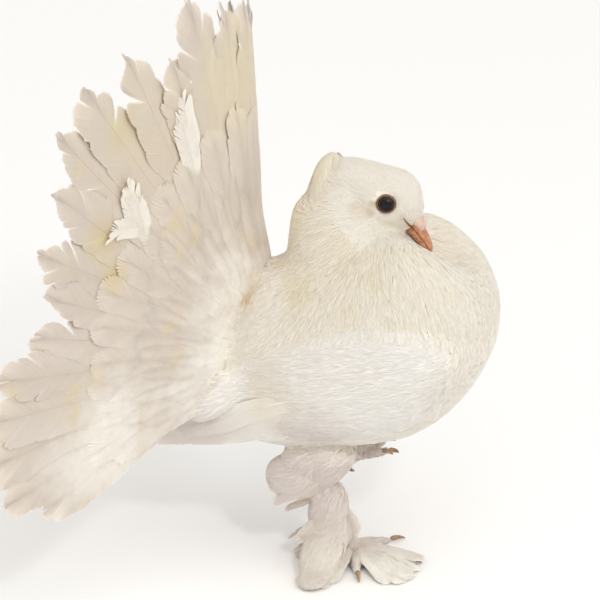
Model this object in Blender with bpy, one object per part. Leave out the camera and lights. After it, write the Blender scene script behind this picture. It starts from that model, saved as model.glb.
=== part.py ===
# Indian fantail pigeon, a white bird resting on its right foot with the left one tucked up.
# The bird faces +X and its left side is +Y. The origin is on the floor under the standing foot.
# Sizes below are in millimetres, and MM turns them into metres.

import math

import bmesh
import bpy
import numpy as np
from mathutils import Vector

MM = 0.001
GAP = 0.3
SEED = 7

# Roundness of each form: the number of points round it, and of rings along the torso
BODY_SIDES = 22
BODY_RINGS = 20
NECK_SIDES = 20
HEAD_SIDES = 18
HULL_SIDES = 16

# Torso stations: X, height of the widest level, rise above it, drop below it, half width
TORSO = (
    (-88, 77, 3, 3, 4),
    (-83, 78, 10, 9, 12),
    (-72, 81, 19, 17, 22),
    (-58, 88, 34, 26, 32),
    (-44, 97, 51, 38, 40),
    (-26, 105, 51, 47, 46),
    (-6, 111, 56, 50, 49),
    (14, 115, 61, 51, 50),
    (34, 120, 62, 49, 49),
    (50, 124, 48, 40, 43),
    (61, 127, 31, 28, 33),
    (67, 128, 17, 16, 20),
    (70, 128, 7, 7, 8),
)
TORSO_FULLNESS = 2.2
# The breast parts in the middle, and the bill lies in that hollow
HOLLOW_DEPTH = 24
HOLLOW_AT = 40
HOLLOW_LONG = 17
HOLLOW_WIDE = 18

# Neck stations: X, Z, half depth fore and aft, half width
NECK = (
    (1, 128, 34, 33),
    (-1, 143, 32.5, 31),
    (-3, 158, 30, 28.5),
    (-4.5, 170, 27.3, 25),
    (-6.5, 181, 21.9, 19),
    (-3, 190, 16, 14),
)

# Head stations from the nape to the bill: distance, rise, drop, half width
HEAD_MIDDLE = (12.8, 186.8)
HEAD_DIP = 15
HEAD = (
    (-29, 3, 4, 3),
    (-27, 8, 8, 7),
    (-22, 12, 13, 10.8),
    (-13, 14.2, 16.5, 13),
    (-3, 15, 17, 13.6),
    (4, 15.6, 16.6, 13.3),
    (9, 15.4, 15.6, 12.4),
    (13.5, 13, 14.2, 11),
    (17, 9, 12.4, 9.2),
    (19.4, 3.2, 10, 7),
    (20.8, -1.6, 6.6, 4.4),
)

# Eye, and the bare ring of lid round it, which faces outwards and a little forwards
EYE_RADIUS = 5.2
EYE_ALONG = 4.3
EYE_RISE = 0.5
EYE_SIDE = 9
EYE_AIM = (0.14, 1, 0.06)
EYE_ROOM = 2 * GAP
LID_RADIUS = 4.5
LID_THICK = 0.85
LID_OUT = 3.5

# Bill
BILL_ROOT = (27.8, 174.2)
BILL_DIP = 51.5
MOUTH_GAP = 0.35
BILL_ROOM = 2 * GAP
BILL_END = 0.6
# Bill stations: distance from the root, height of the mouth line, top of the upper half,
# bottom of the lower half, half width
BILL = (
    (-6, 0.3, 4.4, -4.4, 5.0),
    (0, 0.2, 4.6, -4.5, 4.8),
    (5, 0.0, 4.1, -3.9, 3.9),
    (10, -0.1, 3.2, -3.1, 2.8),
    (14, -0.4, 1.9, -2.5, 1.9),
    (16.2, -1.0, 0.3, -2.1, 1.1),
)
# Each swelling over a nostril: distance, height and side of its middle, and its three half sizes
CERE_AT = (1.4, 4.7, 1.7)
CERE_SIZE = (3.8, 1.9, 2.1)

# Tail fan
FAN_APEX = (-48, 0, 104)
FAN_STEP = 7.0
FAN_SIDE_COUNT = 15
FAN_SWEEP = 28
FAN_SHINGLE = 1.15
FAN_CURL = 7
# Reach of a tail feather from the apex, by its angle from the top of the fan
FAN_REACH = (
    (0, 190),
    (28, 182),
    (42, 180),
    (56, 164),
    (70, 154),
    (77, 166),
    (84, 178),
    (91, 176),
    (98, 168),
    (105, 152),
)
# The stump that holds the roots: its reach by angle, half thickness, the angle of its parting,
# the angle where each half ends, and its share of the reach and thickness ring by ring
PAD_REACH = ((0, 44), (45, 44), (90, 48), (112, 46))
PAD_HALF = 6.5
PAD_SPLIT = -3.5
PAD_END = 110
PAD_RINGS = ((0.2, 1.0), (0.5, 1.0), (0.72, 0.86), (0.88, 0.62), (1.0, 0.24))

# Vanes
VANE_THICK = 0.55
VANE_RIDGE = 0.4

# Folded wing: the surface it follows behind the torso, as X, middle height, half height, half width
WING_REAR = (
    (-60, 88, 38, 37),
    (-80, 80, 32, 32),
    (-100, 73, 27, 27),
    (-120, 67, 23, 23),
    (-150, 58, 18, 18),
)
WING_THICK = 5.2
# Edge of the wing's firm part in side view, as X, lower Z, upper Z
WING_PLATE = (
    (59, 112, 131),
    (50, 98, 136),
    (38, 85, 139.5),
    (18, 75, 139),
    (-4, 70, 134),
    (-22, 69, 124),
)

# Right leg, standing, and left leg, tucked up under the belly: points of each limb and its radii
THIGH_RIGHT = ((-4, -19, 68), (-9, -17.5, 55), (-16, -16, 44))
THIGH_RIGHT_RADII = (14, 12, 8)
SHANK_RIGHT = ((-14, -15, 39), (-10, -12, 26), (-6.5, -8, 13))
SHANK_RIGHT_RADII = (6.5, 7.6, 9)
THIGH_LEFT = ((-14, 18, 66), (-19, 17, 56), (-24, 15, 45))
THIGH_LEFT_RADII = (11, 8.5, 4.6)
SHANK_LEFT = ((-24, 15, 45), (-11, 13.5, 46.5), (1, 12, 47.5))
SHANK_LEFT_RADII = (4.0, 3.2, 3.2)
THIGH_SIDES = 12
SHANK_SIDES = 10
# Palm of each foot: middle, radius and stretch
PALM_RIGHT = ((-0.5, -1.5, 3.3), 6.5, (1, 1, 0.66))
PALM_LEFT = ((2, 12.5, 47.5), 4.6, (1.1, 1, 0.8))
TOE_RADII = (2.9, 2.3, 2.1, 1.7)
TOE_HEIGHTS = (3.2, 2.1, 1.9, 1.7)
TUCKED_TOE_RADII = (2.3, 2.1, 1.9)
CLAW_START = 1.6
CLAW_LENGTH = 7.5
CLAW_RADII = (1.25, 1.1, 0.8, 0.35)
CLAW_DROP = 1.3
TUCKED_CLAW_RADII = (1.2, 0.9, 0.35)


def clear_scene():
    for thing in list(bpy.data.objects):
        bpy.data.objects.remove(thing)


def make_material(name, colour, roughness):
    material = bpy.data.materials.new(name)
    material.use_nodes = True
    shader = material.node_tree.nodes["Principled BSDF"]
    shader.inputs["Base Color"].default_value = (*colour, 1)
    shader.inputs["Roughness"].default_value = roughness
    shader.inputs["Metallic"].default_value = 0
    return material


def spot(x, y, z):
    """A point given in millimetres."""
    return Vector((x, y, z)) * MM


def eased(table, at, column):
    """A smooth value from a table of stations, by a cubic between the rows."""
    rows = np.array(table, float)
    rows = rows[np.argsort(rows[:, 0])]
    x, y = rows[:, 0], rows[:, column]
    slope = np.gradient(y, x)
    at = min(max(at, x[0]), x[-1])
    i = min(max(int(np.searchsorted(x, at)) - 1, 0), len(x) - 2)
    width = x[i + 1] - x[i]
    t = (at - x[i]) / width
    low = (2 * t**3 - 3 * t**2 + 1) * y[i] + (t**3 - 2 * t**2 + t) * width * slope[i]
    high = (3 * t**2 - 2 * t**3) * y[i + 1] + (t**3 - t**2) * width * slope[i + 1]
    return float(low + high)


# Building closed shapes


def make_object(name, draw, material):
    """A new object whose mesh the function draw puts into an empty bmesh."""
    shape = bmesh.new()
    draw(shape)
    bmesh.ops.triangulate(shape, faces=[face for face in shape.faces if len(face.verts) > 3])
    bmesh.ops.recalc_face_normals(shape, faces=shape.faces)
    mesh = bpy.data.meshes.new(name)
    shape.to_mesh(mesh)
    shape.free()
    thing = bpy.data.objects.new(name, mesh)
    thing.data.materials.append(material)
    bpy.context.collection.objects.link(thing)
    return thing


def skin_rings(shape, rings, start, end):
    """Closes a tube through rings of points, with a point at each end."""
    loops = [[shape.verts.new(point) for point in ring] for ring in rings]
    count = len(loops[0])
    for lower, upper in zip(loops, loops[1:]):
        for k in range(count):
            after = (k + 1) % count
            shape.faces.new((lower[k], lower[after], upper[after]))
            shape.faces.new((lower[k], upper[after], upper[k]))
    first, last = shape.verts.new(start), shape.verts.new(end)
    for k in range(count):
        after = (k + 1) % count
        shape.faces.new((first, loops[0][after], loops[0][k]))
        shape.faces.new((last, loops[-1][k], loops[-1][after]))


def tube(points, radii, sides=8, floor=False):
    """A round limb through points, in millimetres. On the floor its underside is flat."""

    def draw(shape):
        spots = [spot(*p) for p in points]
        rings = []
        for i, here in enumerate(spots):
            ahead = spots[min(i + 1, len(spots) - 1)] - spots[max(i - 1, 0)]
            across = ahead.cross(Vector((0, 0, 1)))
            if across.length < 1e-9:
                across = Vector((0, 1, 0))
            across.normalize()
            over = across.cross(ahead).normalized()
            ring = []
            for k in range(sides):
                angle = 2 * math.pi * (k + 0.5) / sides
                side = across * math.cos(angle) * radii[i]
                ring.append(here + (side + over * math.sin(angle) * radii[i]) * MM)
            rings.append(ring)
        first = spots[0] - (spots[1] - spots[0]).normalized() * radii[0] * 0.5 * MM
        last = spots[-1] + (spots[-1] - spots[-2]).normalized() * radii[-1] * 0.5 * MM
        if floor:
            for ring in rings:
                for point in ring:
                    point.z = max(point.z, 0)
            first.z, last.z = max(first.z, 0.3 * MM), max(last.z, 0.3 * MM)
        skin_rings(shape, rings, first, last)

    return draw


def ball(centre, radius, stretch=(1, 1, 1), rings=(14, 8)):
    def draw(shape):
        bmesh.ops.create_uvsphere(
            shape, u_segments=rings[0], v_segments=rings[1], radius=radius * MM
        )
        bmesh.ops.scale(shape, vec=Vector(stretch), verts=shape.verts)
        bmesh.ops.translate(shape, vec=centre, verts=shape.verts)

    return draw


def vane(place, stations, thick=VANE_THICK, ridge=VANE_RIDGE):
    """A thin feather. stations holds (share of length, left width, right width), and place turns
    (share of length, sideways from -1 to 1, height in millimetres) into a point. A long feather
    has the ridge of its shaft down the middle, and one with no ridge is a plain plate."""

    def draw(shape):
        rows = []
        for along, left, right in stations:
            edges = ((-left, 0), (0, ridge), (right, 0)) if ridge else ((-left, 0), (right, 0))
            tops = [shape.verts.new(place(along, s, thick / 2 + extra)) for s, extra in edges]
            unders = [shape.verts.new(place(along, s, -thick / 2)) for s, _ in edges]
            rows.append((tops, unders))
        strips = range(len(rows[0][0]) - 1)
        for (top_a, under_a), (top_b, under_b) in zip(rows, rows[1:]):
            for k in strips:
                shape.faces.new((top_a[k], top_a[k + 1], top_b[k + 1]))
                shape.faces.new((top_a[k], top_b[k + 1], top_b[k]))
                shape.faces.new((under_a[k], under_b[k + 1], under_a[k + 1]))
                shape.faces.new((under_a[k], under_b[k], under_b[k + 1]))
            for k in (0, -1):
                shape.faces.new((top_a[k], top_b[k], under_b[k]))
                shape.faces.new((top_a[k], under_b[k], under_a[k]))
        for tops, unders in (rows[0], rows[-1]):
            for k in strips:
                shape.faces.new((tops[k], tops[k + 1], unders[k + 1], unders[k]))

    return draw


BLADE = ((0, 0.45, 0.45), (0.3, 0.9, 0.9), (0.6, 1, 1), (0.85, 0.7, 0.7), (1, 0.25, 0.25))


def blade(root, bend, tip, half, across, thick=VANE_THICK):
    """A single feather along a curve from root by bend to tip, in millimetres."""
    root, bend, tip = Vector(root), Vector(bend), Vector(tip)
    across = Vector(across).normalized()

    def place(along, side, high):
        a, b = root.lerp(bend, along), bend.lerp(tip, along)
        over = (b - a).cross(across).normalized()
        if over.z < 0:
            over = -over
        return (a.lerp(b, along) + across * half * side + over * high) * MM

    return vane(place, BLADE, thick, 0)


# Boolean work


def apply_modifiers(thing):
    """Replaces the object's mesh by the one that its modifiers give."""
    graph = bpy.context.evaluated_depsgraph_get()
    mesh = bpy.data.meshes.new_from_object(thing.evaluated_get(graph))
    thing.modifiers.clear()
    thing.data = mesh


def keep_largest(thing):
    """Drops every closed surface of the mesh but the largest."""
    shape = bmesh.new()
    shape.from_mesh(thing.data)
    bmesh.ops.remove_doubles(shape, verts=shape.verts, dist=1e-6)
    unseen = set(shape.faces)
    islands = []
    while unseen:
        front = [unseen.pop()]
        island = set(front)
        while front:
            for edge in front.pop().edges:
                for face in edge.link_faces:
                    if face in unseen:
                        unseen.discard(face)
                        island.add(face)
                        front.append(face)
        islands.append(island)
    islands.sort(key=lambda faces: sum(face.calc_area() for face in faces))
    spare = [face for island in islands[:-1] for face in island]
    bmesh.ops.delete(shape, geom=spare, context="FACES")
    shape.to_mesh(thing.data)
    shape.free()


def join_pieces(thing, draws):
    """One Boolean union of the object with a collection of closed pieces."""
    group = bpy.data.collections.new(thing.name + "_pieces")
    material = thing.data.materials[0]
    pieces = []
    for draw in draws:
        piece = make_object("piece", draw, material)
        group.objects.link(piece)
        pieces.append(piece)
    union = thing.modifiers.new("join", "BOOLEAN")
    union.operation = "UNION"
    union.operand_type = "COLLECTION"
    union.collection = group
    union.solver = "MANIFOLD"
    apply_modifiers(thing)
    for piece in pieces:
        bpy.data.objects.remove(piece)
    bpy.data.collections.remove(group)
    keep_largest(thing)


def cut_clear(thing, draws):
    """Cuts the object by its neighbours, each drawn larger by the gap."""
    material = thing.data.materials[0]
    for draw in draws:
        cutter = make_object("cutter", draw, material)
        cut = thing.modifiers.new("cut", "BOOLEAN")
        cut.operation = "DIFFERENCE"
        cut.object = cutter
        cut.solver = "MANIFOLD"
        apply_modifiers(thing)
        bpy.data.objects.remove(cutter)
    keep_largest(thing)


# Torso, neck and head


def power(value, exponent):
    return math.copysign(abs(value) ** exponent, value)


def torso_point(x, angle, grow=0.0):
    """A point of the torso's skin, in millimetres, at an angle from the left side upwards."""
    level, rise, drop, wide = (eased(TORSO, x, column) for column in (1, 2, 3, 4))
    y = (wide + grow) * power(math.cos(angle), 2 / TORSO_FULLNESS)
    high = (rise if math.sin(angle) > 0 else drop) + grow
    z = level + high * power(math.sin(angle), 2 / TORSO_FULLNESS)
    if z > level:
        dip = math.exp(-(((x - HOLLOW_AT) / HOLLOW_LONG) ** 2) - (y / HOLLOW_WIDE) ** 2)
        z -= HOLLOW_DEPTH * dip
    return x, y, z


def torso_shape(grow=0.0):
    def draw(shape):
        first, last = TORSO[0][0], TORSO[-1][0]
        rings = []
        for share in np.linspace(0, math.pi, BODY_RINGS):
            x = first + (last - first) * (1 - math.cos(share)) / 2
            turns = [2 * math.pi * k / BODY_SIDES for k in range(BODY_SIDES)]
            rings.append([spot(*torso_point(x, turn, grow)) for turn in turns])
        tail = spot(first - 1 - grow, 0, TORSO[0][1])
        breast = spot(last + 1.2 + grow, 0, TORSO[-1][1])
        skin_rings(shape, rings, tail, breast)

    return draw


def oval_rings(stations, across, sides):
    """Rings through (middle, upward axis, rise, drop, half width) stations."""
    rings = []
    for middle, over, rise, drop, wide in stations:
        ring = []
        for k in range(sides):
            angle = 2 * math.pi * k / sides
            high = rise if math.sin(angle) > 0 else drop
            ring.append(middle + (across * wide * math.cos(angle) + over * high * math.sin(angle)) * MM)
        rings.append(ring)
    return rings


def neck_shape(grow=0.0):
    def draw(shape):
        stations = []
        for x, z, deep, wide in NECK:
            reach = deep + grow
            stations.append((spot(x, 0, z), Vector((1, 0, 0)), reach, reach, wide + grow))
        rings = oval_rings(stations, Vector((0, 1, 0)), NECK_SIDES)
        low, high = NECK[0], NECK[-1]
        skin_rings(shape, rings, spot(low[0], 0, low[1] - 4), spot(high[0], 0, high[1] + 4))

    return draw


def head_axes():
    dip = math.radians(HEAD_DIP)
    forward = Vector((math.cos(dip), 0, -math.sin(dip)))
    over = Vector((math.sin(dip), 0, math.cos(dip)))
    return spot(HEAD_MIDDLE[0], 0, HEAD_MIDDLE[1]), forward, over


def head_shape(grow=0.0):
    def draw(shape):
        middle, forward, over = head_axes()
        stations = []
        for along, rise, drop, wide in HEAD:
            at = middle + forward * along * MM
            stations.append((at, over, rise + grow, drop + grow, wide + grow))
        rings = oval_rings(stations, Vector((0, 1, 0)), HEAD_SIDES)
        back = middle + forward * (HEAD[0][0] - 0.8 - grow) * MM
        front = middle + (forward * (HEAD[-1][0] + 0.8 + grow) - over * 3) * MM
        skin_rings(shape, rings, back, front)

    return draw


def eye_centre(side):
    middle, forward, over = head_axes()
    return middle + (forward * EYE_ALONG + over * EYE_RISE + Vector((0, side * EYE_SIDE, 0))) * MM


def lid_shape(side):
    """The bare ring of lid round an eye."""

    def draw(shape):
        outward = (Vector(EYE_AIM) * Vector((1, side, 1))).normalized()
        turn = outward.to_track_quat("Z", "Y").to_matrix()
        around, round_tube = 12, 4
        loops = []
        for i in range(around):
            a = 2 * math.pi * i / around
            spoke = turn @ Vector((math.cos(a), math.sin(a), 0))
            centre = eye_centre(side) + (outward * LID_OUT + spoke * LID_RADIUS) * MM
            loop = []
            for k in range(round_tube):
                b = 2 * math.pi * k / round_tube
                reach = (spoke * math.cos(b) + outward * math.sin(b)) * LID_THICK * MM
                loop.append(shape.verts.new(centre + reach))
            loops.append(loop)
        for here, there in zip(loops, loops[1:] + loops[:1]):
            for k in range(round_tube):
                after = (k + 1) % round_tube
                shape.faces.new((here[k], here[after], there[after], there[k]))

    return draw


def bill_frame():
    dip = math.radians(BILL_DIP)
    forward = Vector((math.cos(dip), 0, -math.sin(dip)))
    over = Vector((math.sin(dip), 0, math.cos(dip)))
    return spot(BILL_ROOT[0], 0, BILL_ROOT[1]), forward, over


def bill_half(upper, grow=0.0):
    """Half of the bill, above or below the mouth line."""

    def draw(shape):
        root, forward, over = bill_frame()
        rings = []
        for along, mouth, top, bottom, wide in BILL:
            shut = mouth + (MOUTH_GAP / 2 if upper else -MOUTH_GAP / 2)
            far = top + grow if upper else bottom - grow
            if grow:
                shut = mouth
            ring = []
            for k in range(10):
                angle = math.pi * k / 9
                side = (wide + grow) * math.cos(angle)
                high = shut + (far - shut) * math.sin(angle)
                ring.append(root + (forward * along + over * high + Vector((0, side, 0))) * MM)
            rings.append(ring)
        low, high = BILL[0], BILL[-1]
        back = (low[1] + (low[2] if upper else low[3])) / 2
        front = (high[1] + (high[2] if upper else high[3])) / 2
        start = root + (forward * (low[0] - BILL_END - grow) + over * back) * MM
        end = root + (forward * (high[0] + BILL_END + grow) + over * front) * MM
        skin_rings(shape, rings, start, end)

    return draw


def bill_hull(grow):
    """One rounded plug round both halves of the bill, used to clear room for it."""

    def draw(shape):
        root, forward, over = bill_frame()
        stations = []
        for along, mouth, top, bottom, wide in BILL:
            at = root + (forward * along + over * mouth) * MM
            stations.append((at, over, top - mouth + grow, mouth - bottom + grow, wide + grow))
        rings = oval_rings(stations, Vector((0, 1, 0)), HULL_SIDES)
        start = root + forward * (BILL[0][0] - BILL_END - grow) * MM
        end = root + (forward * (BILL[-1][0] + BILL_END + grow) + over * BILL[-1][1]) * MM
        skin_rings(shape, rings, start, end)

    return draw


def cere_shape(side, grow=0.0):
    """One of the two soft swellings over the nostrils."""
    root, forward, over = bill_frame()
    along, high, aside = CERE_AT
    middle = root + (forward * along + over * high + Vector((0, side * aside, 0))) * MM
    long, tall, wide = CERE_SIZE

    def draw(shape):
        bmesh.ops.create_uvsphere(shape, u_segments=10, v_segments=6, radius=MM)
        for vert in shape.verts:
            a, b, c = vert.co / MM
            out = forward * a * (long + grow) + over * c * (tall + grow)
            vert.co = middle + (out + Vector((0, b * (wide + grow), 0))) * MM

    return draw


# Peak crest, swept up from the nape: root X, Z, bend X, Z, tip X, Z, half width, sideways
CREST = (
    (-13, 179, -22.5, 196, -9.5, 208, 3.4, 0.1),
    (-12, 178.5, -22, 193, -12, 204, 3.0, 7.4),
    (-12, 178, -22, 192.5, -12, 204.5, 3.0, -7.6),
    (-12, 174, -28, 188, -17, 202, 5.6, 0),
)


def crest_feathers():
    feathers = []
    for root_x, root_z, bend_x, bend_z, tip_x, tip_z, half, side in CREST:
        root, bend = (root_x, side, root_z), (bend_x, side, bend_z)
        across = (0, 1, -0.03 * side)
        feathers.append(blade(root, bend, (tip_x, side, tip_z), half, across, thick=0.8))
    return feathers


def build_neck(white):
    neck = make_object("neck", neck_shape(), white)
    join_pieces(neck, crest_feathers())
    cut_clear(neck, [torso_shape(GAP), head_shape(GAP)])
    return neck


def build_head(white):
    head = make_object("head", head_shape(), white)
    cut_clear(head, [bill_hull(BILL_ROOM)] + [cere_shape(side, GAP) for side in (-1, 1)])
    join_pieces(head, [lid_shape(-1), lid_shape(1)])
    socket = EYE_RADIUS + EYE_ROOM
    cut_clear(head, [ball(eye_centre(side), socket, (1, 1, 1), (12, 7)) for side in (-1, 1)])
    return head


def build_bill(horn, cere_skin):
    upper = make_object("bill_upper", bill_half(True), horn)
    lower = make_object("bill_lower", bill_half(False), horn)
    cere = make_object("cere", cere_shape(-1), cere_skin)
    join_pieces(cere, [cere_shape(1)])
    cut_clear(cere, [bill_half(True, GAP)])
    return [upper, lower, cere]


# Tail fan


def fan_direction(angle):
    """Unit direction of a tail feather. Zero is straight up and positive is to the right side."""
    sideways = math.sin(math.radians(angle))
    swept = math.tan(math.radians(FAN_SWEEP)) * (math.sqrt(sideways**2 + 0.03) - math.sqrt(0.03))
    return Vector((-swept, -sideways, math.cos(math.radians(angle)))).normalized()


def fan_point(angle, reach, high):
    """A point of the fan. Height is measured towards the head, and the far tips curl back."""
    direction = fan_direction(angle)
    facing = (fan_direction(angle + 1) - fan_direction(angle - 1)).cross(direction).normalized()
    if facing.x < 0:
        facing = -facing
    bend = FAN_CURL * (reach / 190) ** 3
    return (Vector(FAN_APEX) + direction * reach + facing * (high - bend)) * MM


def pad_reach(angle):
    return eased(PAD_REACH, abs(angle), 1)


def fan_pad(side):
    """Half of the tail's stump, a thick lens that follows the fan and holds the roots."""

    def draw(shape):
        rings = []
        for share, half in PAD_RINGS:
            split = math.degrees(GAP * 0.7 / (share * pad_reach(PAD_SPLIT)))
            if side < 0:
                angles = np.linspace(PAD_SPLIT + split, PAD_END, 9)
            else:
                angles = np.linspace(-PAD_END, PAD_SPLIT - split, 9)
            front = [fan_point(a, share * pad_reach(a), PAD_HALF * half) for a in angles]
            rear = [fan_point(a, share * pad_reach(a), -PAD_HALF * half) for a in angles]
            rings.append(front + rear[::-1])
        loops = [[shape.verts.new(point) for point in ring] for ring in rings]
        count = len(loops[0])
        for lower, upper in zip(loops, loops[1:]):
            for k in range(count):
                after = (k + 1) % count
                shape.faces.new((lower[k], lower[after], upper[after]))
                shape.faces.new((lower[k], upper[after], upper[k]))
        for loop in (loops[0], loops[-1]):
            for k in range(count // 2 - 1):
                a, b, c, d = loop[k], loop[k + 1], loop[count - 2 - k], loop[count - 1 - k]
                shape.faces.new((a, b, c))
                shape.faces.new((a, c, d))

    return draw


def tail_feather(index, rng):
    """One long tail feather, shingled over its outer neighbour, with an uneven tip."""
    angle = index * FAN_STEP
    outward = (index > 0) - (index < 0)
    reach = eased(FAN_REACH, abs(angle), 1) * (1 + rng.uniform(-0.035, 0.035))
    base = pad_reach(angle)
    root = base - 14

    def place(along, side, high):
        distance = root + (reach - root) * along
        shingle = FAN_SHINGLE * side * outward if outward else FAN_SHINGLE * abs(side) + 0.1
        return fan_point(angle + FAN_STEP * side, distance, high + shingle)

    def share(distance):
        return (distance - root) / (reach - root)

    notch = [rng.uniform(0.6, 1.0) for _ in range(4)]
    stations = (
        (0.0, 0.3, 0.3),
        (share(base), 0.38, 0.38),
        (share(base + 12), 0.92, 0.92),
        (0.74, 0.96, 0.96),
        (0.88, 0.88 * notch[0], 0.88 * notch[1]),
        (0.95, 0.6 * notch[2], 0.6 * notch[3]),
        (1.0, 0.18, 0.18),
    )
    return vane(place, stations)


def tail_covert(angle, reach, lift, width):
    """A covert that lies on the fan, on the head's side where lift is positive."""
    root = pad_reach(angle) - 15

    def place(along, side, high):
        distance = root + (reach - root) * along
        return fan_point(angle + width * side * min(1, 46 / distance + 0.28), distance, high + lift)

    stations = ((0, 0.5, 0.5), (0.4, 0.92, 0.92), (0.78, 0.84, 0.84), (1, 0.3, 0.3))
    return vane(place, stations, ridge=0)


# Covert tiers of the tail: reach beyond the stump, height over the fan, spacing, first angle
TAIL_TIERS = ((40, 2.7, 13, 6.5), (20, 4.3, 13, 13), (30, -2.9, 13, 6.5))


def build_tail(side, white):
    """One half of the tail with its coverts. The right half holds the middle feather."""
    rng = np.random.default_rng(SEED)
    feathers = {i: tail_feather(i, rng) for i in range(-FAN_SIDE_COUNT, FAN_SIDE_COUNT + 1)}
    pieces = [feathers[i] for i in feathers if (i < 0 if side > 0 else i >= 0)]
    for beyond, lift, spacing, first in TAIL_TIERS:
        spread = first
        while spread < 109:
            angle = PAD_SPLIT - spread * side
            pieces.append(tail_covert(angle, pad_reach(angle) + beyond, lift, spacing * 0.47))
            spread += spacing
    name = "tail_left" if side > 0 else "tail_right"
    tail = make_object(name, fan_pad(side), white)
    join_pieces(tail, pieces)
    cut_clear(tail, [torso_shape(GAP)])
    return tail


# Folded wing


def wing_surface():
    """Stations of the surface that the wing follows: X, middle, rise, drop, half width."""
    rows = [(x, z, high, high, wide) for x, z, high, wide in WING_REAR]
    for x in range(-40, 70, 12):
        rows.append((x, *(eased(TORSO, x, column) for column in (1, 2, 3, 4))))
    return tuple(rows)


WING_SURFACE = wing_surface()


def wing_point(side, x, z, high):
    """The point of the wing above side view position X, Z, at a height over its surface."""
    level, rise, drop, wide = (eased(WING_SURFACE, x, column) for column in (1, 2, 3, 4))
    half = rise if z > level else drop
    share = min(max((z - level) / half, -0.94), 0.94)
    out = (1 - abs(share) ** TORSO_FULLNESS) ** (1 / TORSO_FULLNESS)
    tilt = share * high
    return spot(x, side * (wide + high) * out, level + share * half + tilt)


def wing_plate(side):
    """The firm part of the wing, a curved plate with thinner edges."""

    def draw(shape):
        xs = np.linspace(WING_PLATE[-1][0], WING_PLATE[0][0], 8)
        grid = []
        for i, x in enumerate(xs):
            low, high = eased(WING_PLATE, x, 1), eased(WING_PLATE, x, 2)
            row = []
            for j in range(6):
                z = low + (high - low) * (0, 0.07, 0.34, 0.66, 0.93, 1)[j]
                firm = 1.4 if j in (0, 5) or i == len(xs) - 1 else WING_THICK
                bottom = wing_point(side, x, z, GAP + 0.5)
                row.append((bottom, wing_point(side, x, z, firm + GAP)))
            grid.append(row)
        verts = [[[shape.verts.new(p) for p in pair] for pair in row] for row in grid]
        rows, columns = len(grid), 6
        for i in range(rows - 1):
            for j in range(columns - 1):
                for layer in (0, 1):
                    a, b = verts[i][j][layer], verts[i + 1][j][layer]
                    c, d = verts[i + 1][j + 1][layer], verts[i][j + 1][layer]
                    shape.faces.new((a, b, c, d))
        edge = [(i, 0) for i in range(rows)]
        edge += [(rows - 1, j) for j in range(1, columns)]
        edge += [(i, columns - 1) for i in range(rows - 2, -1, -1)]
        edge += [(0, j) for j in range(columns - 2, 0, -1)]
        for (i, j), (k, m) in zip(edge, edge[1:] + edge[:1]):
            shape.faces.new((verts[i][j][0], verts[k][m][0], verts[k][m][1], verts[i][j][1]))

    return draw


def wing_feather(side, root, tip, half, heights, sag=0.0, shingle=0.0, long=False):
    """A wing feather between two side view positions, at heights over the wing's surface."""
    run_x, run_z = tip[0] - root[0], tip[1] - root[1]
    length = math.hypot(run_x, run_z)
    up_x, up_z = run_z / length, -run_x / length

    def place(along, across, high):
        x = root[0] + run_x * along + up_x * half * across
        z = root[1] + run_z * along + up_z * half * across - sag * math.sin(math.pi * along)
        lift = heights[0] + (heights[1] - heights[0]) * along - shingle * across
        return wing_point(side, x, z, lift + high)

    if long:
        stations = (
            (0, 0.3, 0.3),
            (0.24, 0.76, 0.76),
            (0.6, 1, 1),
            (0.9, 0.8, 0.74),
            (1, 0.2, 0.15),
        )
    else:
        stations = ((0, 0.45, 0.45), (0.4, 0.94, 0.94), (0.8, 0.8, 0.8), (1, 0.28, 0.28))
    return vane(place, stations, ridge=VANE_RIDGE if long else 0)


def spread_between(start, end, count):
    """Evenly spaced positions from start to end, each a pair."""
    shares = [i / (count - 1) for i in range(count)]
    return [[a + (b - a) * s for a, b in zip(start, end)] for s in shares]


# Covert tiers: first and last root, first and last tip, count, half width, heights
WING_TIERS = (
    ((2, 76), (-2, 116), (-52, 72), (-43, 100), 5, 5.6, (4.1, 5.4)),
    ((22, 80), (18, 123), (-13, 74), (-14, 117), 5, 5.9, (4.0, 7.0)),
    ((42, 92), (38, 127), (8, 80), (8, 125), 4, 6.4, (4.0, 7.0)),
    ((56, 110), (54, 129), (31, 95), (29, 130), 3, 6.8, (4.0, 7.0)),
    ((14, 132), (22, 136), (-42, 113), (-31, 123), 2, 4.8, (4.4, 7.6)),
)


def build_wing(side, white):
    name = "wing_left" if side > 0 else "wing_right"
    pieces = []
    # Flight feathers: the outer ones are long and low, the inner ones short and high
    roots = spread_between((-8, 73), (-8, 101), 8)
    tips = spread_between((-136, 57), (-66, 77), 8)
    for i, (root, tip) in enumerate(zip(roots, tips)):
        reach = 1 + 0.03 * math.sin(i * 1.7)
        tip = [root[0] + (tip[0] - root[0]) * reach, root[1] + (tip[1] - root[1]) * reach]
        pieces.append(
            wing_feather(side, root, tip, 5.4, (2.1, 2.0), sag=-2.0, shingle=1.1, long=True)
        )
    for first_root, last_root, first_tip, last_tip, count, half, heights in WING_TIERS:
        roots = spread_between(first_root, last_root, count)
        tips = spread_between(first_tip, last_tip, count)
        for root, tip in zip(roots, tips):
            pieces.append(wing_feather(side, root, tip, half * 0.92, heights))
    wing = make_object(name, wing_plate(side), white)
    join_pieces(wing, pieces)
    cut_clear(wing, [torso_shape(GAP)])
    return wing


# Legs and feet


def grown(points, radii, grow, sides=8):
    return tube(points, [r + grow for r in radii], sides)


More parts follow.
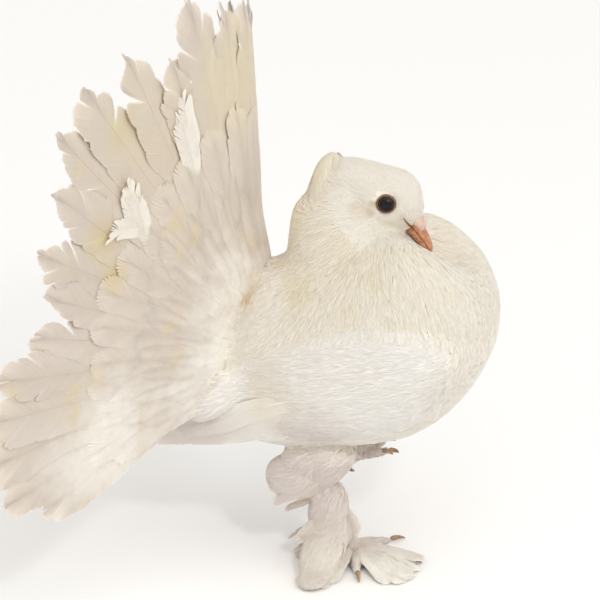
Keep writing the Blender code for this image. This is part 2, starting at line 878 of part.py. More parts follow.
# Feathers at the hock and down the shank of the standing leg: root, bend, tip, half width, across
HOCK_BLADES = (
    ((-6, -20, 56), (-25, -19, 53), (-41, -17, 40), 6.2, (0.1, 0.15, 1)),
    ((-8, -19, 50), (-22, -21, 42), (-38, -19, 30), 5.6, (0.5, 0.1, 1)),
    ((-9, -12, 50), (-22, -9, 46), (-34, -8, 35), 5.0, (0.4, -0.2, 1)),
    ((-9, -17, 45), (-17, -21, 36), (-26, -19, 23), 5.0, (1, 0.1, 0.7)),
)
SHANK_BLADES = (
    ((-12, -13, 33), (-22, -13, 25), (-31, -12, 17), 5.0, (0.7, -0.2, 0.9)),
    ((-11, -13, 30), (-18, -20, 20), (-23, -26, 10), 5.6, (0.9, 0, 0.6)),
    ((-9, -12, 30), (-6, -24, 19), (-3, -30, 8), 5.6, (1, 0.3, 0)),
    ((-9, -9, 28), (0, -14, 22), (8, -16, 13.5), 4.6, (0.5, 0.3, 0.6)),
)
# Feathers of the standing foot, flat on the floor
FOOT_BLADES = (
    ((-6, -6), (-20, -6), (-33, -4), 5.6),
    ((-4, -9), (-16, -26), (-22, -42), 6.6),
    ((-1, -10), (-6, -30), (-13, -48), 7.0),
    ((4, -10), (7, -22), (6, -33), 5.6),
    ((7, -9), (19, -22), (30, -36), 6.4),
    ((9, -8), (25, -16), (41, -26), 5.6),
)
# Toes of the standing foot, each by the direction that it points in and its length
TOES = (("inner", 40, 22), ("middle", -9, 29), ("outer", -71, 27), ("back", 162, 15))


def toe_path(heading, length):
    """Points of a toe on the floor, in millimetres."""
    turn = math.radians(heading)
    path = []
    for share, high in zip((0, 0.35, 0.7, 1), TOE_HEIGHTS):
        reach = length * share
        path.append((reach * math.cos(turn), PALM_RIGHT[0][1] + reach * math.sin(turn), high))
    return path


def claw_path(end, heading):
    """A claw that curves forwards and down from the end of a toe."""
    turn = math.radians(heading)
    path = []
    for share, fall in ((0.0, 0.0), (0.35, -0.05), (0.7, 0.3), (1.0, 1.0)):
        reach = CLAW_START + CLAW_LENGTH * share
        x, y = end[0] + reach * math.cos(turn), end[1] + reach * math.sin(turn)
        path.append((x, y, end[2] + 0.5 - CLAW_DROP * fall))
    return path


def floor_feathers():
    """Feathers that run from the top of the foot down to the floor and lie flat there."""
    feathers = []
    half = VANE_THICK / 2
    for root, bend, tip, wide in FOOT_BLADES:
        lean = math.atan2(tip[1] - root[1], tip[0] - root[0]) + math.pi / 2
        across = (math.cos(lean), math.sin(lean), 0)
        feathers.append(blade((*root, TOE_HEIGHTS[0]), (*bend, half), (*tip, half), wide, across))
    return feathers


def build_right_leg(white, horn):
    thigh = make_object("thigh_right", tube(THIGH_RIGHT, THIGH_RIGHT_RADII, THIGH_SIDES), white)
    join_pieces(thigh, [blade(*row) for row in HOCK_BLADES])
    cut_clear(thigh, [torso_shape(GAP)])

    shank = make_object("shank_right", tube(SHANK_RIGHT, SHANK_RIGHT_RADII, SHANK_SIDES), white)
    join_pieces(shank, [blade(*row) for row in SHANK_BLADES])
    cut_clear(shank, [grown(THIGH_RIGHT, THIGH_RIGHT_RADII, GAP, THIGH_SIDES)])
    # Room round each hock feather is wider and much thicker than the feather
    cut_clear(shank, [blade(r, b, t, h + 0.6, a, thick=2.0) for r, b, t, h, a in HOCK_BLADES])

    centre, radius, stretch = PALM_RIGHT
    foot = make_object("foot_right", ball(spot(*centre), radius, stretch, (12, 6)), white)
    for vert in foot.data.vertices:
        vert.co.z = max(vert.co.z, 0)
    toes = [tube(toe_path(turn, long), TOE_RADII, 7, True) for _, turn, long in TOES]
    join_pieces(foot, toes + floor_feathers())
    cut_clear(foot, [grown(SHANK_RIGHT, SHANK_RIGHT_RADII, GAP, SHANK_SIDES)])
    claws = []
    for name, turn, long in TOES:
        toe = toe_path(turn, long)
        claw = make_object("claw_right_" + name, tube(claw_path(toe[-1], turn), CLAW_RADII, 6), horn)
        cut_clear(claw, [grown(toe, TOE_RADII, GAP)])
        claws.append(claw)
    return [thigh, shank, foot] + claws


# Toes of the tucked foot: where each ends, and the end of its claw
TUCKED = (
    ("inner", ((4, 9, 48), (9, 7, 51), (13, 7.5, 52.5)), (18.5, 8.5, 50.5)),
    ("middle", ((4, 13, 47), (10, 13.5, 48.5), (15, 13.5, 50.5)), (20.5, 13.5, 49.5)),
    ("outer", ((3, 16, 47.5), (8, 19.5, 50), (12, 21, 52.5)), (17, 22, 52)),
    ("back", ((-1, 12, 45.5), (-4, 11.5, 43.5), (-5, 11.5, 41.5)), (-1.5, 11.5, 38)),
)
TUCKED_BLADES = (
    ((-20, 14, 46), (-31, 13, 42), (-42, 12, 40), 4.6, (0.2, 1, 0.2)),
    ((-22, 16, 47), (-30, 20, 43), (-40, 22, 41), 4.4, (0.2, 1, -0.2)),
    ((-14, 13, 46), (-18, 10, 39), (-26, 8, 33.5), 4.2, (0.4, 1, 0)),
    ((-12, 16, 46), (-15, 22, 40), (-22, 26, 36), 4.2, (0.4, 1, 0)),
)


def build_left_leg(white, horn, skin):
    thigh = make_object("thigh_left", tube(THIGH_LEFT, THIGH_LEFT_RADII, THIGH_SIDES), white)
    cut_clear(thigh, [torso_shape(GAP)])

    shank = make_object("shank_left", tube(SHANK_LEFT, SHANK_LEFT_RADII, SHANK_SIDES), white)
    join_pieces(shank, [blade(*row) for row in TUCKED_BLADES])
    room = grown(THIGH_LEFT, THIGH_LEFT_RADII, GAP, THIGH_SIDES)
    cut_clear(shank, [room, torso_shape(GAP)])

    centre, radius, stretch = PALM_LEFT
    foot = make_object("foot_left", ball(spot(*centre), radius, stretch, (12, 8)), skin)
    join_pieces(foot, [tube(path, TUCKED_TOE_RADII, 7) for _, path, _ in TUCKED])
    cut_clear(foot, [grown(SHANK_LEFT, SHANK_LEFT_RADII, GAP, SHANK_SIDES), torso_shape(GAP)])
    claws = []
    for name, path, tip in TUCKED:
        end, tip = Vector(path[-1]), Vector(tip)
        step = (end - Vector(path[-2])).normalized()
        start = end + step * 1.5
        bend = start.lerp(tip, 0.5) + step * 0.9
        curve = tube((start, bend, tip), TUCKED_CLAW_RADII, 6)
        claw = make_object("claw_left_" + name, curve, horn)
        cut_clear(claw, [grown(path, TUCKED_TOE_RADII, GAP), torso_shape(GAP)])
        claws.append(claw)
    return [thigh, shank, foot] + claws


def centre_origin(thing):
    """Moves the object's origin to the middle of its mesh."""
    points = [vert.co for vert in thing.data.vertices]
    low = Vector([min(p[i] for p in points) for i in range(3)])
    high = Vector([max(p[i] for p in points) for i in range(3)])
    middle = (low + high) / 2
    for vert in thing.data.vertices:
        vert.co -= middle
    thing.location = middle


def main():
    clear_scene()
    white = make_material("white_feather", (0.86, 0.84, 0.78), 0.75)
    horn = make_material("pink_horn", (0.62, 0.36, 0.27), 0.4)
    cere_skin = make_material("powdery_cere", (0.78, 0.55, 0.46), 0.6)
    skin = make_material("toe_skin", (0.70, 0.36, 0.30), 0.5)
    dark = make_material("dark_eye", (0.02, 0.016, 0.014), 0.08)

    torso = make_object("torso", torso_shape(), white)
    cut_clear(torso, [head_shape(GAP), bill_hull(BILL_ROOM)])
    parts = [torso, build_neck(white), build_head(white)] + build_bill(horn, cere_skin)
    for side, name in ((-1, "eye_right"), (1, "eye_left")):
        parts.append(make_object(name, ball(eye_centre(side), EYE_RADIUS, rings=(12, 7)), dark))
    for side in (-1, 1):
        parts.append(build_tail(side, white))
        parts.append(build_wing(side, white))
    parts += build_right_leg(white, horn) + build_left_leg(white, horn, skin)
    for thing in parts:
        centre_origin(thing)


main()
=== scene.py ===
# %% [markdown]
# A white Indian fantail pigeon, life-size, standing on its right foot with the left foot tucked up.
# The solid model comes in first and stays as a fixed frame. Everything below is drawn round it, in
# the same place and at the same size: one skin, the feathers that grow from it, and the small bare
# parts of the head and the feet.

import math

import bmesh
import bpy
import numpy as np
from mathutils import Matrix, Vector
from mathutils.bvhtree import BVHTree


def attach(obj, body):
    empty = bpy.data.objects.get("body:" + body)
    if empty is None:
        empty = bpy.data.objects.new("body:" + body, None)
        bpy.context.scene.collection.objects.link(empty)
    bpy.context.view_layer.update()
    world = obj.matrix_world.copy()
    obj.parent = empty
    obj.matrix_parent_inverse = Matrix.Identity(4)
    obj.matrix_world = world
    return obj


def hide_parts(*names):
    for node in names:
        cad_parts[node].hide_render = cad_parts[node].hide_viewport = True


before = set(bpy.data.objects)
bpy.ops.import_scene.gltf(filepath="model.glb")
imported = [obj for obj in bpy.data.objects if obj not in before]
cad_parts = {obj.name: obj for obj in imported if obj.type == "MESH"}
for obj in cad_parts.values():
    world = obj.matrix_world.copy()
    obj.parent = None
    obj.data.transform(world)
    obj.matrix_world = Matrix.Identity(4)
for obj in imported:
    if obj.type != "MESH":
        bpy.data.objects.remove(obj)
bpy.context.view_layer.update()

# %% [markdown]
# The bird is described by short tables of stations, in millimetres. Each row gives a place along a
# form and its sizes there, as a taxidermist notes them down. A smooth curve is read through the rows.
# The bird faces +X, its left side is +Y, and the origin is on the floor under the standing foot.

# %% Measures of the bird
MM = 0.001
SEED = 7
BODY_COAT = 1.3
FACE_COAT = 0.7

# Torso: X, height of the widest level, rise above it, drop below it, half width
TORSO = (
    (-88, 77, 3, 3, 4),
    (-83, 78, 10, 9, 12),
    (-72, 81, 19, 17, 22),
    (-58, 88, 34, 26, 32),
    (-44, 97, 51, 38, 40),
    (-26, 105, 51, 47, 46),
    (-6, 111, 56, 50, 49),
    (14, 115, 61, 51, 50),
    (34, 120, 62, 49, 49),
    (50, 124, 48, 40, 43),
    (61, 127, 31, 28, 33),
    (67, 128, 17, 16, 20),
    (70, 128, 7, 7, 8),
)
TORSO_MIDDLE, TORSO_HALF = -9, 77
FULLNESS = 2.2
# Neck: Z, X, half depth, half width
NECK = (
    (128, 1, 34, 33),
    (143, -1, 32.5, 31),
    (158, -3, 30, 28.5),
    (170, -4.5, 27.3, 25),
    (181, -6.5, 21.9, 19),
    (190, -3, 16, 14),
)
NECK_LOW, NECK_LONG = 124, 70
# Head from the nape to the bill: distance along its axis, rise, drop, half width
HEAD_MIDDLE = np.array((12.8, 0, 186.8))
HEAD_DIP = math.radians(15)
HEAD = (
    (-29, 3, 4, 3),
    (-27, 8, 8, 7),
    (-22, 12, 13, 10.8),
    (-13, 14.2, 16.5, 13),
    (-3, 15, 17, 13.6),
    (4, 15.6, 16.6, 13.3),
    (9, 15.4, 15.6, 12.4),
    (13.5, 13, 14.2, 11),
    (17, 9, 12.4, 9.2),
    (19.4, 3.2, 10, 7),
    (20.8, -1.6, 6.6, 4.4),
)
SKULL_MIDDLE, SKULL_HALF = -4.1, 24.9
HEAD_FORWARD = np.array((math.cos(HEAD_DIP), 0, -math.sin(HEAD_DIP)))
HEAD_OVER = np.array((math.sin(HEAD_DIP), 0, math.cos(HEAD_DIP)))


def eased(table, at, column):
    """A smooth value from a table of stations, for one place or an array of places."""
    rows = np.array(table, float)
    rows = rows[np.argsort(rows[:, 0])]
    x, y = rows[:, 0], rows[:, column]
    slope = np.gradient(y, x)
    at = np.clip(at, x[0], x[-1])
    i = np.clip(np.searchsorted(x, at) - 1, 0, len(x) - 2)
    width = x[i + 1] - x[i]
    t = (at - x[i]) / width
    low = (2 * t**3 - 3 * t**2 + 1) * y[i] + (t**3 - 2 * t**2 + t) * width * slope[i]
    high = (3 * t**2 - 2 * t**3) * y[i + 1] + (t**3 - t**2) * width * slope[i + 1]
    return low + high


def unit(vectors):
    length = np.linalg.norm(vectors, axis=-1, keepdims=True)
    return vectors / np.maximum(length, 1e-9)


def smooth_step(low, high, value):
    t = np.clip((value - low) / (high - low), 0, 1)
    return t * t * (3 - 2 * t)


print("stations:", len(TORSO), "of the torso,", len(NECK), "of the neck and", len(HEAD), "of the head")

# %% [markdown]
# Three curved surfaces carry the feathers: the body, the raised fan of the tail, and the folded wing.
# Each is a rule that turns two measures along the surface and a height above it into a point. The
# rules take whole arrays, so that thousands of barbs can be laid in one go.

# %% Surfaces that carry the feathers
# The hollow in which the head rests
HOLLOW_DEPTH, HOLLOW_AT, HOLLOW_LONG, HOLLOW_WIDE = 24, 40, 17, 18
# The fan: where its feathers meet, degrees between them, and how it sweeps and curls back
FAN_APEX = np.array((-48.0, 0.0, 104.0))
FAN_STEP = 7.0
FAN_SIDE_COUNT = 15
FAN_SWEEP = math.tan(math.radians(28))
FAN_FOLD = 0.03
FAN_CURL, FAN_LONG = 7, 190
# Angle from the middle of the fan, and reach of the roots of its feathers there
PAD_REACH = ((0, 44), (45, 44), (90, 48), (112, 46))
# The wing behind the torso, in the torso's own columns
WING_REAR = (
    (-60, 88, 38, 38, 37),
    (-80, 80, 32, 32, 32),
    (-100, 73, 27, 27, 27),
    (-120, 67, 23, 23, 23),
    (-150, 58, 18, 18, 18),
)


def torso_point(x, turn, grow):
    """A point of the torso at a turn from the left side upwards."""
    level, rise, drop, wide = (eased(TORSO, x, column) for column in (1, 2, 3, 4))
    round_off = 2 / FULLNESS
    y = (wide + grow) * math.copysign(abs(math.cos(turn)) ** round_off, math.cos(turn))
    high = (rise if math.sin(turn) > 0 else drop) + grow
    z = level + high * math.copysign(abs(math.sin(turn)) ** round_off, math.sin(turn))
    if z > level:
        z -= HOLLOW_DEPTH * math.exp(-(((x - HOLLOW_AT) / HOLLOW_LONG) ** 2) - (y / HOLLOW_WIDE) ** 2)
    return x, y, z


def fan_swept(sideways):
    """How far the fan lies back at a sideways share. It bends softly at its middle."""
    return FAN_SWEEP * (np.sqrt(sideways**2 + FAN_FOLD) - math.sqrt(FAN_FOLD))


def fan_direction(angle):
    """Direction of a tail feather. Zero degrees is straight up and positive is the right side."""
    turn = np.radians(angle)
    sideways = np.sin(turn)
    return unit(np.stack((-fan_swept(sideways), -sideways, np.cos(turn)), -1))


def fan_point(angle, reach, high):
    """A point of the fan. Height is measured towards the head, and the far tips curl back."""
    direction = fan_direction(angle)
    facing = unit(np.cross(fan_direction(angle + 1) - fan_direction(angle - 1), direction))
    facing = facing * np.sign(facing[..., :1])
    bend = FAN_CURL * (reach / FAN_LONG) ** 3
    return FAN_APEX + direction * reach[..., None] + facing * (high - bend)[..., None]


WING_SPAN = range(-40, 70, 12)
WING_EDGE = 0.94
wing_rows = list(WING_REAR)
for station in WING_SPAN:
    wing_rows.append((station, *(float(eased(TORSO, station, column)) for column in (1, 2, 3, 4))))


def wing_point(side, x, z, high):
    """The point of the wing at side view position X, Z, at a height over the flank."""
    level, rise, drop, wide = (eased(wing_rows, x, column) for column in (1, 2, 3, 4))
    half = np.where(z > level, rise, drop)
    share = np.clip((z - level) / half, -WING_EDGE, WING_EDGE)
    out = (1 - np.abs(share) ** FULLNESS) ** (1 / FULLNESS)
    return np.stack((x, side * (wide + high) * out, level + share * (half + high)), -1)


print("surfaces: body, fan of", 2 * FAN_SIDE_COUNT + 1, "feathers, and two folded wings")

# %% [markdown]
# Materials come next, because each piece takes one as it is made. Plumage is keratin full of tiny air
# gaps, so it scatters light and looks matt and softly white. Its colour isn't even: towards the roots of
# the feathers it is darker and creamier, which is painted shade where they overlap, and it has stains
# where dust and preening oil gather. Every feather strand carries a measure called tone, from 0 at a root
# in painted shade to 1 at the tip, which the colour follows.

# %% A helper for nodes, and the plumage
def colour(code):
    """A colour written as sRGB hex, turned to linear light."""
    parts = [int(code[i : i + 2], 16) / 255 for i in (0, 2, 4)]
    return (*(p / 12.92 if p <= 0.04045 else ((p + 0.055) / 1.055) ** 2.4 for p in parts), 1)


def add_node(tree, kind, settings=None, **inputs):
    """Adds a node with its settings, and sets or links its inputs by name or number."""
    node = tree.nodes.new(kind)
    for name, value in (settings or {}).items():
        setattr(node, name, value)
    for name, value in inputs.items():
        socket = node.inputs[int(name[1:])] if name[1:].isdigit() else node.inputs[name.replace("_", " ")]
        if isinstance(value, bpy.types.NodeSocket):
            tree.links.new(value, socket)
        else:
            socket.default_value = value
    return node


def new_material(name, **looks):
    """A material with one Principled shader. Returns it, its tree and the shader."""
    material = bpy.data.materials.new(name)
    material.use_nodes = True
    tree = material.node_tree
    shader = tree.nodes["Principled BSDF"]
    for key, value in looks.items():
        shader.inputs[key.replace("_", " ")].default_value = value
    return material, tree, shader


def blend(tree, share, first, second):
    """A mix of two colours, each a socket or a colour."""
    mixed = add_node(tree, "ShaderNodeMix", {"data_type": "RGBA"}, i0=share, i6=first, i7=second)
    return mixed.outputs[2]


def ramp(tree, value, low, high):
    """Stretches a value so that low gives 0 and high gives 1."""
    settings = {"interpolation_type": "SMOOTHSTEP"}
    return add_node(tree, "ShaderNodeMapRange", settings, Value=value, i1=low, i2=high).outputs[0]


KERATIN_IOR = 1.5
GLOW_MM = 1.2


def plumage(name, clean, shaded, stain, stain_share, patch_mm, roughness, tints=()):
    """Feather keratin: its own colour at the tips, painted shade at the roots, with soft stains. Each tint
    is a centre and a reach in millimetres, a colour and a strength."""
    material, tree, shader = new_material(
        name, Roughness=roughness, IOR=KERATIN_IOR, Sheen_Weight=0.15, Sheen_Roughness=0.5,
        Subsurface_Weight=0.35, Subsurface_Radius=(1.0, 0.92, 0.8), Subsurface_Scale=GLOW_MM * MM)
    place = add_node(tree, "ShaderNodeTexCoord").outputs["Object"]
    tone = add_node(tree, "ShaderNodeAttribute", {"attribute_name": "tone"}).outputs["Fac"]
    scale = 1 / (patch_mm * MM)
    cloud = add_node(tree, "ShaderNodeTexNoise", Vector=place, Scale=scale, Detail=3.0, Roughness=0.6)
    fine = add_node(tree, "ShaderNodeTexNoise", Vector=place, Scale=scale * 6, Detail=2.0)
    base = blend(tree, tone, colour(shaded), colour(clean))
    for centre, reach, code, strength in tints:
        spot = Vector(centre) * MM
        away = add_node(tree, "ShaderNodeVectorMath", {"operation": "DISTANCE"}, i0=place, i1=spot)
        uneven = add_node(tree, "ShaderNodeMath", {"operation": "MULTIPLY_ADD"}, i0=cloud.outputs["Fac"],
                          i1=reach * 0.8 * MM, i2=away.outputs["Value"])
        share = ramp(tree, uneven.outputs[0], reach * 1.35 * MM, reach * 0.55 * MM)
        share = add_node(tree, "ShaderNodeMath", {"operation": "MULTIPLY"}, i0=share, i1=strength)
        base = blend(tree, share.outputs[0], base, colour(code))
    spots = ramp(tree, cloud.outputs["Fac"], 0.62 - 0.2 * stain_share, 0.8)
    stained = blend(tree, spots, base, colour(stain))
    mottled = ramp(tree, fine.outputs["Fac"], 0.35, 0.75)
    deep = add_node(tree, "ShaderNodeMath", {"operation": "MULTIPLY"}, i0=mottled, i1=0.12)
    final = blend(tree, deep.outputs[0], stained, colour(shaded))
    tree.links.new(final, shader.inputs["Base Color"])
    return material


def both_sides(*tints):
    """Each tint on the right side of the bird and on the left."""
    return [((x, side * y, z), *rest) for (x, y, z), *rest in tints for side in (-1, 1)]


print("colour helpers: one node adder, one plumage recipe")

# %% [markdown]
# A white bird is never one white. The breast is creamy, the belly is painted greyer as the shade under the
# body, the muffs of the legs are greyer too, and the wing is the cleanest. The tail is duller, partly its
# own colour and partly painted shade, with yellow stains of preening oil. One recipe makes every plumage,
# and each kind gets its own colours and its own short list of soft round tints.

# %% Six kinds of plumage
# Shadow of the cheek round the eye and the gape
FACE_SHADE = both_sides(
    ((11.5, 13.4, 186.0), 3.2, "BFA384", 0.6),
    ((10.0, 13.4, 181.5), 3.6, "C6AC8E", 0.55),
    ((5.0, 13.6, 183.0), 8, "DCCBB0", 0.55),
    ((24.0, 9.0, 180.0), 3.5, "CDB698", 0.5),
)
# Where neck and body feathers meet over the breast, both take one colour
BREAST_MEETING = [
    ((66, 0, 134), 44, "EEE5D5", 0.95),
    *both_sides(((58, 28, 134), 44, "EEE5D5", 0.95)),
]
BODY_PLUMAGE = plumage("contour_plumage", "F3ECDF", "E9DFCC", "EFE5CC", 0.35, 22, 0.75, (
    # Painted shade: the belly, the lower breast on each side and the rear under the tail are painted
    # darker, as the shade under the body.
    ((-10, 0, 48), 60, "D8CAC1", 0.9),
    *both_sides(((56, 42, 108), 26, "E6DCCE", 0.7)),
    ((-56, 0, 72), 36, "D6C7BC", 0.85),
    *BREAST_MEETING,
    *FACE_SHADE,
))
HACKLE_PLUMAGE = plumage("hackle_plumage", "F1E9D8", "DFCFB2", "EADFC2", 0.4, 14, 0.7, (
    ((-26, 0, 172), 24, "F8EED2", 0.8),
    ((-15, 0, 196), 16, "F8EED0", 0.7),
    *both_sides(
        ((-22, 36, 150), 14, "E4D3A8", 0.5),
        ((0, 30, 168), 16, "E2D4B8", 0.5),
        ((22, 60, 136), 24, "F6F0E5", 0.8),
        ((-12, 55, 134), 20, "F5EEE1", 0.7),
    ),
    *BREAST_MEETING,
))
WING_PLUMAGE = plumage("wing_plumage", "F7F2EA", "EAE2D5", "F1E8D6", 0.3, 26, 0.65, both_sides(
    ((-30, 46, 96), 26, "EBE0CC", 0.7),
    # Painted shade: the lower wing, its front over the lower breast and the flight feathers under the tail
    # are painted darker, as if in shade.
    ((-10, 46, 70), 34, "DCCEC5", 0.85),
    ((56, 42, 104), 26, "E6DCCE", 0.7),
    ((-72, 38, 68), 44, "DCCDC2", 0.85),
))


def fan_spot(angle, reach):
    """A place on the fan, for a tint."""
    return tuple(fan_point(np.array(float(angle)), np.array(float(reach)), np.array(0.0)))


# The tail is darker and pinker than the body: partly its own colour, partly painted shade.
TAIL_PLUMAGE = plumage("silky_tail_plumage", "DFD2C4", "C3B2A2", "DBC8A2", 0.5, 24, 0.6, (
    (fan_spot(30, 150), 60, "D9C9AF", 0.6),
    (fan_spot(-30, 150), 60, "D9C9AF", 0.6),
    (fan_spot(6, 140), 42, "DFCFAB", 0.8),
    (fan_spot(100, 110), 50, "F8F1E4", 0.8),
    (fan_spot(-100, 110), 50, "F8F1E4", 0.8),
    # Painted light in part: near its root the fan is painted near white, its own cream lifted against the
    # shade there.
    (FAN_APEX, 90, "FDF9EE", 0.97),
    (fan_spot(34, 160), 13, "D3C090", 0.55),
    (fan_spot(50, 136), 16, "D0B87A", 0.6),
    (fan_spot(55, 120), 13, "D0B87A", 0.6),
    (fan_spot(-40, 130), 17, "D2BB80", 0.6),
))
MUFF_PLUMAGE = plumage("muff_plumage", "E1D4CB", "D2C3B9", "E9DDC8", 0.3, 12, 0.7, (
    ((-10, -32, 6), 28, "F0E8D8", 0.9),
    # Painted light in part: the feathers at the standing foot's front are painted near white, their own
    # cream lifted as if lit from the front.
    ((24, -22, 2), 30, "FFFDF0", 1.0),
))
# Painted light in part: the loose feathers are paler than the tail for the light they catch.
LOOSE_PLUMAGE = plumage("loose_plumage", "EFE8DB", "E2D6C8", "EFE6D2", 0.3, 14, 0.7)
print("materials: six kinds of plumage")

# %% [markdown]
# Under the feathers lies the skin. Torso, neck, head, legs and the stump of the tail are one living
# surface, so they are made as closed forms that overlap, and then wrapped in a single new mesh. Each
# form starts as a sphere whose points are moved onto the measured shape, smaller by the depth of
# the coat. The remesh joins them, and smoothing rounds the seams off.

# %% Forms of torso, neck and head
def round_form(place, around, along):
    """A closed form: a sphere whose points place moves, by share of length and turn."""
    shape = bmesh.new()
    bmesh.ops.create_uvsphere(shape, u_segments=around, v_segments=along, radius=1)
    for vert in shape.verts:
        share = math.acos(max(-1, min(1, vert.co.z))) / math.pi
        turn = math.atan2(vert.co.y, vert.co.x)
        vert.co = Vector(place(share, turn)) * MM
    bmesh.ops.recalc_face_normals(shape, faces=shape.faces)
    return shape


def torso_form():
    def place(share, turn):
        x = TORSO_MIDDLE - TORSO_HALF * math.cos(math.pi * share)
        return torso_point(x, turn, -BODY_COAT)

    return round_form(place, 48, 40)


def neck_form():
    def place(share, turn):
        z = NECK_LOW + NECK_LONG * share
        x, deep, wide = (eased(NECK, z, column) for column in (1, 2, 3))
        return x + (deep - BODY_COAT) * math.cos(turn), (wide - BODY_COAT) * math.sin(turn), z

    return round_form(place, 40, 24)


def head_form():
    def place(share, turn):
        along = SKULL_MIDDLE - SKULL_HALF * math.cos(math.pi * share)
        rise, drop, wide = (eased(HEAD, along, column) for column in (1, 2, 3))
        high = (rise if math.sin(turn) > 0 else drop) - FACE_COAT
        over = HEAD_OVER * high * math.sin(turn)
        across = np.array((0, (wide - FACE_COAT) * math.cos(turn), 0))
        return HEAD_MIDDLE + HEAD_FORWARD * along + over + across

    return round_form(place, 40, 36)


skin_forms = [torso_form(), neck_form(), head_form()]
print("skin: torso, neck and head are shaped")

# %% [markdown]
# The tail's root is a soft half wheel of flesh and down, from which the long feathers stand up. It
# thins out towards the feathers, so the same rule of height later lifts the coverts that lie on it.

# %% Form of the tail's root
APRON_MIDDLE, APRON_HALF, APRON_THICK = 36, 40, 4.2
APRON_TURN = 108


def apron_high(reach):
    """Height of the tail's soft root over the middle of the fan, at a reach from the apex."""
    out = np.clip((reach - APRON_MIDDLE) / APRON_HALF, 0, 1)
    return APRON_THICK * np.cos(math.pi / 2 * out) ** 2


def tail_root_form():
    def place(share, turn):
        angle = APRON_TURN - 2 * APRON_TURN * share
        reach = APRON_MIDDLE + APRON_HALF * math.cos(turn)
        high = apron_high(reach) * max(-1, min(1, 3 * math.sin(turn)))
        high *= math.sin(math.pi * min(0.9, max(0.1, share))) ** 0.3
        return fan_point(np.array(angle), np.array(float(reach)), np.array(high))

    return round_form(place, 28, 60)


skin_forms.append(tail_root_form())
print("skin: the tail's root reaches", APRON_MIDDLE + APRON_HALF, "mm from where its feathers meet")

# %% [markdown]
# Legs and toes are limbs: a row of points with a radius at each. The muffs that hide them are so dense
# that from outside they read as firm mounds, so each mound is one soft egg over the limb, and small
# feathers grow on it later. The standing foot's toes are laid out by heading and length.

# %% Forms of the legs
def limb_form(points, radii, guide, around=16, along=18):
    """A round limb or claw through points, with rounded ends."""
    table = np.column_stack((np.linspace(0, 1, len(points)), np.array(points, float), radii))

    def middle(at):
        return np.array([eased(table, at, column) for column in (1, 2, 3)])

    def place(share, turn):
        at = 0.5 - 0.5 * math.cos(math.pi * share)
        across = unit(np.cross(middle(at + 0.03) - middle(at - 0.03), guide))
        over = unit(np.cross(across, middle(at + 0.03) - middle(at - 0.03)))
        radius = eased(table, at, 4) * math.sqrt(max(0, 1 - (2 * at - 1) ** 8))
        return middle(at) + (across * math.cos(turn) + over * math.sin(turn)) * radius

    return round_form(place, around, along)


# Points and radii of each limb, and the toes of the standing foot by heading and length
THIGH_RIGHT, THIGH_RIGHT_RADII = ((-4, -19, 68), (-9, -17.5, 55), (-16, -16, 44)), (12.7, 10.7, 6.7)
SHANK_RIGHT, SHANK_RIGHT_RADII = ((-14, -15, 41), (-10, -12, 26), (-6.5, -8, 10)), (5.2, 6.4, 7.4)
THIGH_LEFT, THIGH_LEFT_RADII = ((-14, 18, 66), (-19, 17, 56), (-24, 15, 45)), (10, 7.4, 3.8)
SHANK_LEFT, SHANK_LEFT_RADII = ((-24, 15, 45), (-11, 13.5, 46.5), (1, 12, 47.5)), (3.4, 2.6, 2.9)
PALM_RIGHT, PALM_LEFT = (0, -1.5, 3.6), (2, 12.5, 47.5)
TOES = (("inner", 40, 22), ("middle", -9, 29), ("outer", -71, 27), ("back", 162, 15))
TUCKED = (
    ("inner", ((4, 9, 48), (9, 7, 51), (13, 7.5, 52.5)), (18.5, 8.5, 50.5)),
    ("middle", ((4, 13, 47), (10, 13.5, 48.5), (15, 13.5, 50.5)), (20.5, 13.5, 49.5)),
    ("outer", ((3, 16, 47.5), (8, 19.5, 50), (12, 21, 52.5)), (17, 22, 52)),
    ("back", ((-1, 12, 45.5), (-4, 11.5, 43.5), (-5, 11.5, 41.5)), (-1.5, 11.5, 38)),
)
UP, LEFT = (0, 0, 1), (0, 1, 0)
# Mounds: middle, direction along, direction over, three half sizes
MOUNDS = (
    ((-17, -19, 57), (-1, 0, -0.05), UP, 13, 9, 9),
    ((-24, -19, 46.5), (-1, 0, -0.15), UP, 14.5, 7.5, 11.5),
    ((-9, -13.5, 28), (0.15, 0, 1), LEFT, 15, 9.5, 7),
    ((-8, -12.5, 16), UP, LEFT, 10, 10.5, 8),
    ((-9, -23, 11), (-0.1, -0.85, -0.5), UP, 19, 10.5, 4.6),
    ((-9, -33, 3.6), (-0.1, -1, -0.04), UP, 18, 8.5, 3),
    ((20, -17, 3.1), (0.84, -0.54, -0.04), UP, 18.5, 8, 2.4),
    ((-2, 12.5, 49), (0.73, 0, 0.68), (-0.68, 0, 0.73), 14, 6, 5),
)


def standing_toe(heading, length):
    """Points and radii of a toe on the floor."""
    turn = math.radians(heading)
    shares = (0, 0.35, 0.7, 1)
    aside = PALM_RIGHT[1]
    points = [(length * s * math.cos(turn), aside + length * s * math.sin(turn), 3.2 - 1.4 * s)
              for s in shares]
    return points, (2.7, 2.3, 2.0, 1.6)


def mound_form(centre, ahead, over, long, wide, deep):
    """A mound of dense feathers: its middle, two directions and three half sizes."""
    ahead = unit(np.array(ahead, float))
    across = unit(np.cross(over, ahead))
    over = np.cross(ahead, across)

    def place(share, turn):
        ring = across * wide * math.cos(turn) + over * deep * math.sin(turn)
        run = ahead * long * math.cos(math.pi * share)
        return np.array(centre) - run + ring * math.sin(math.pi * share) ** 0.8

    return round_form(place, 28, 20)


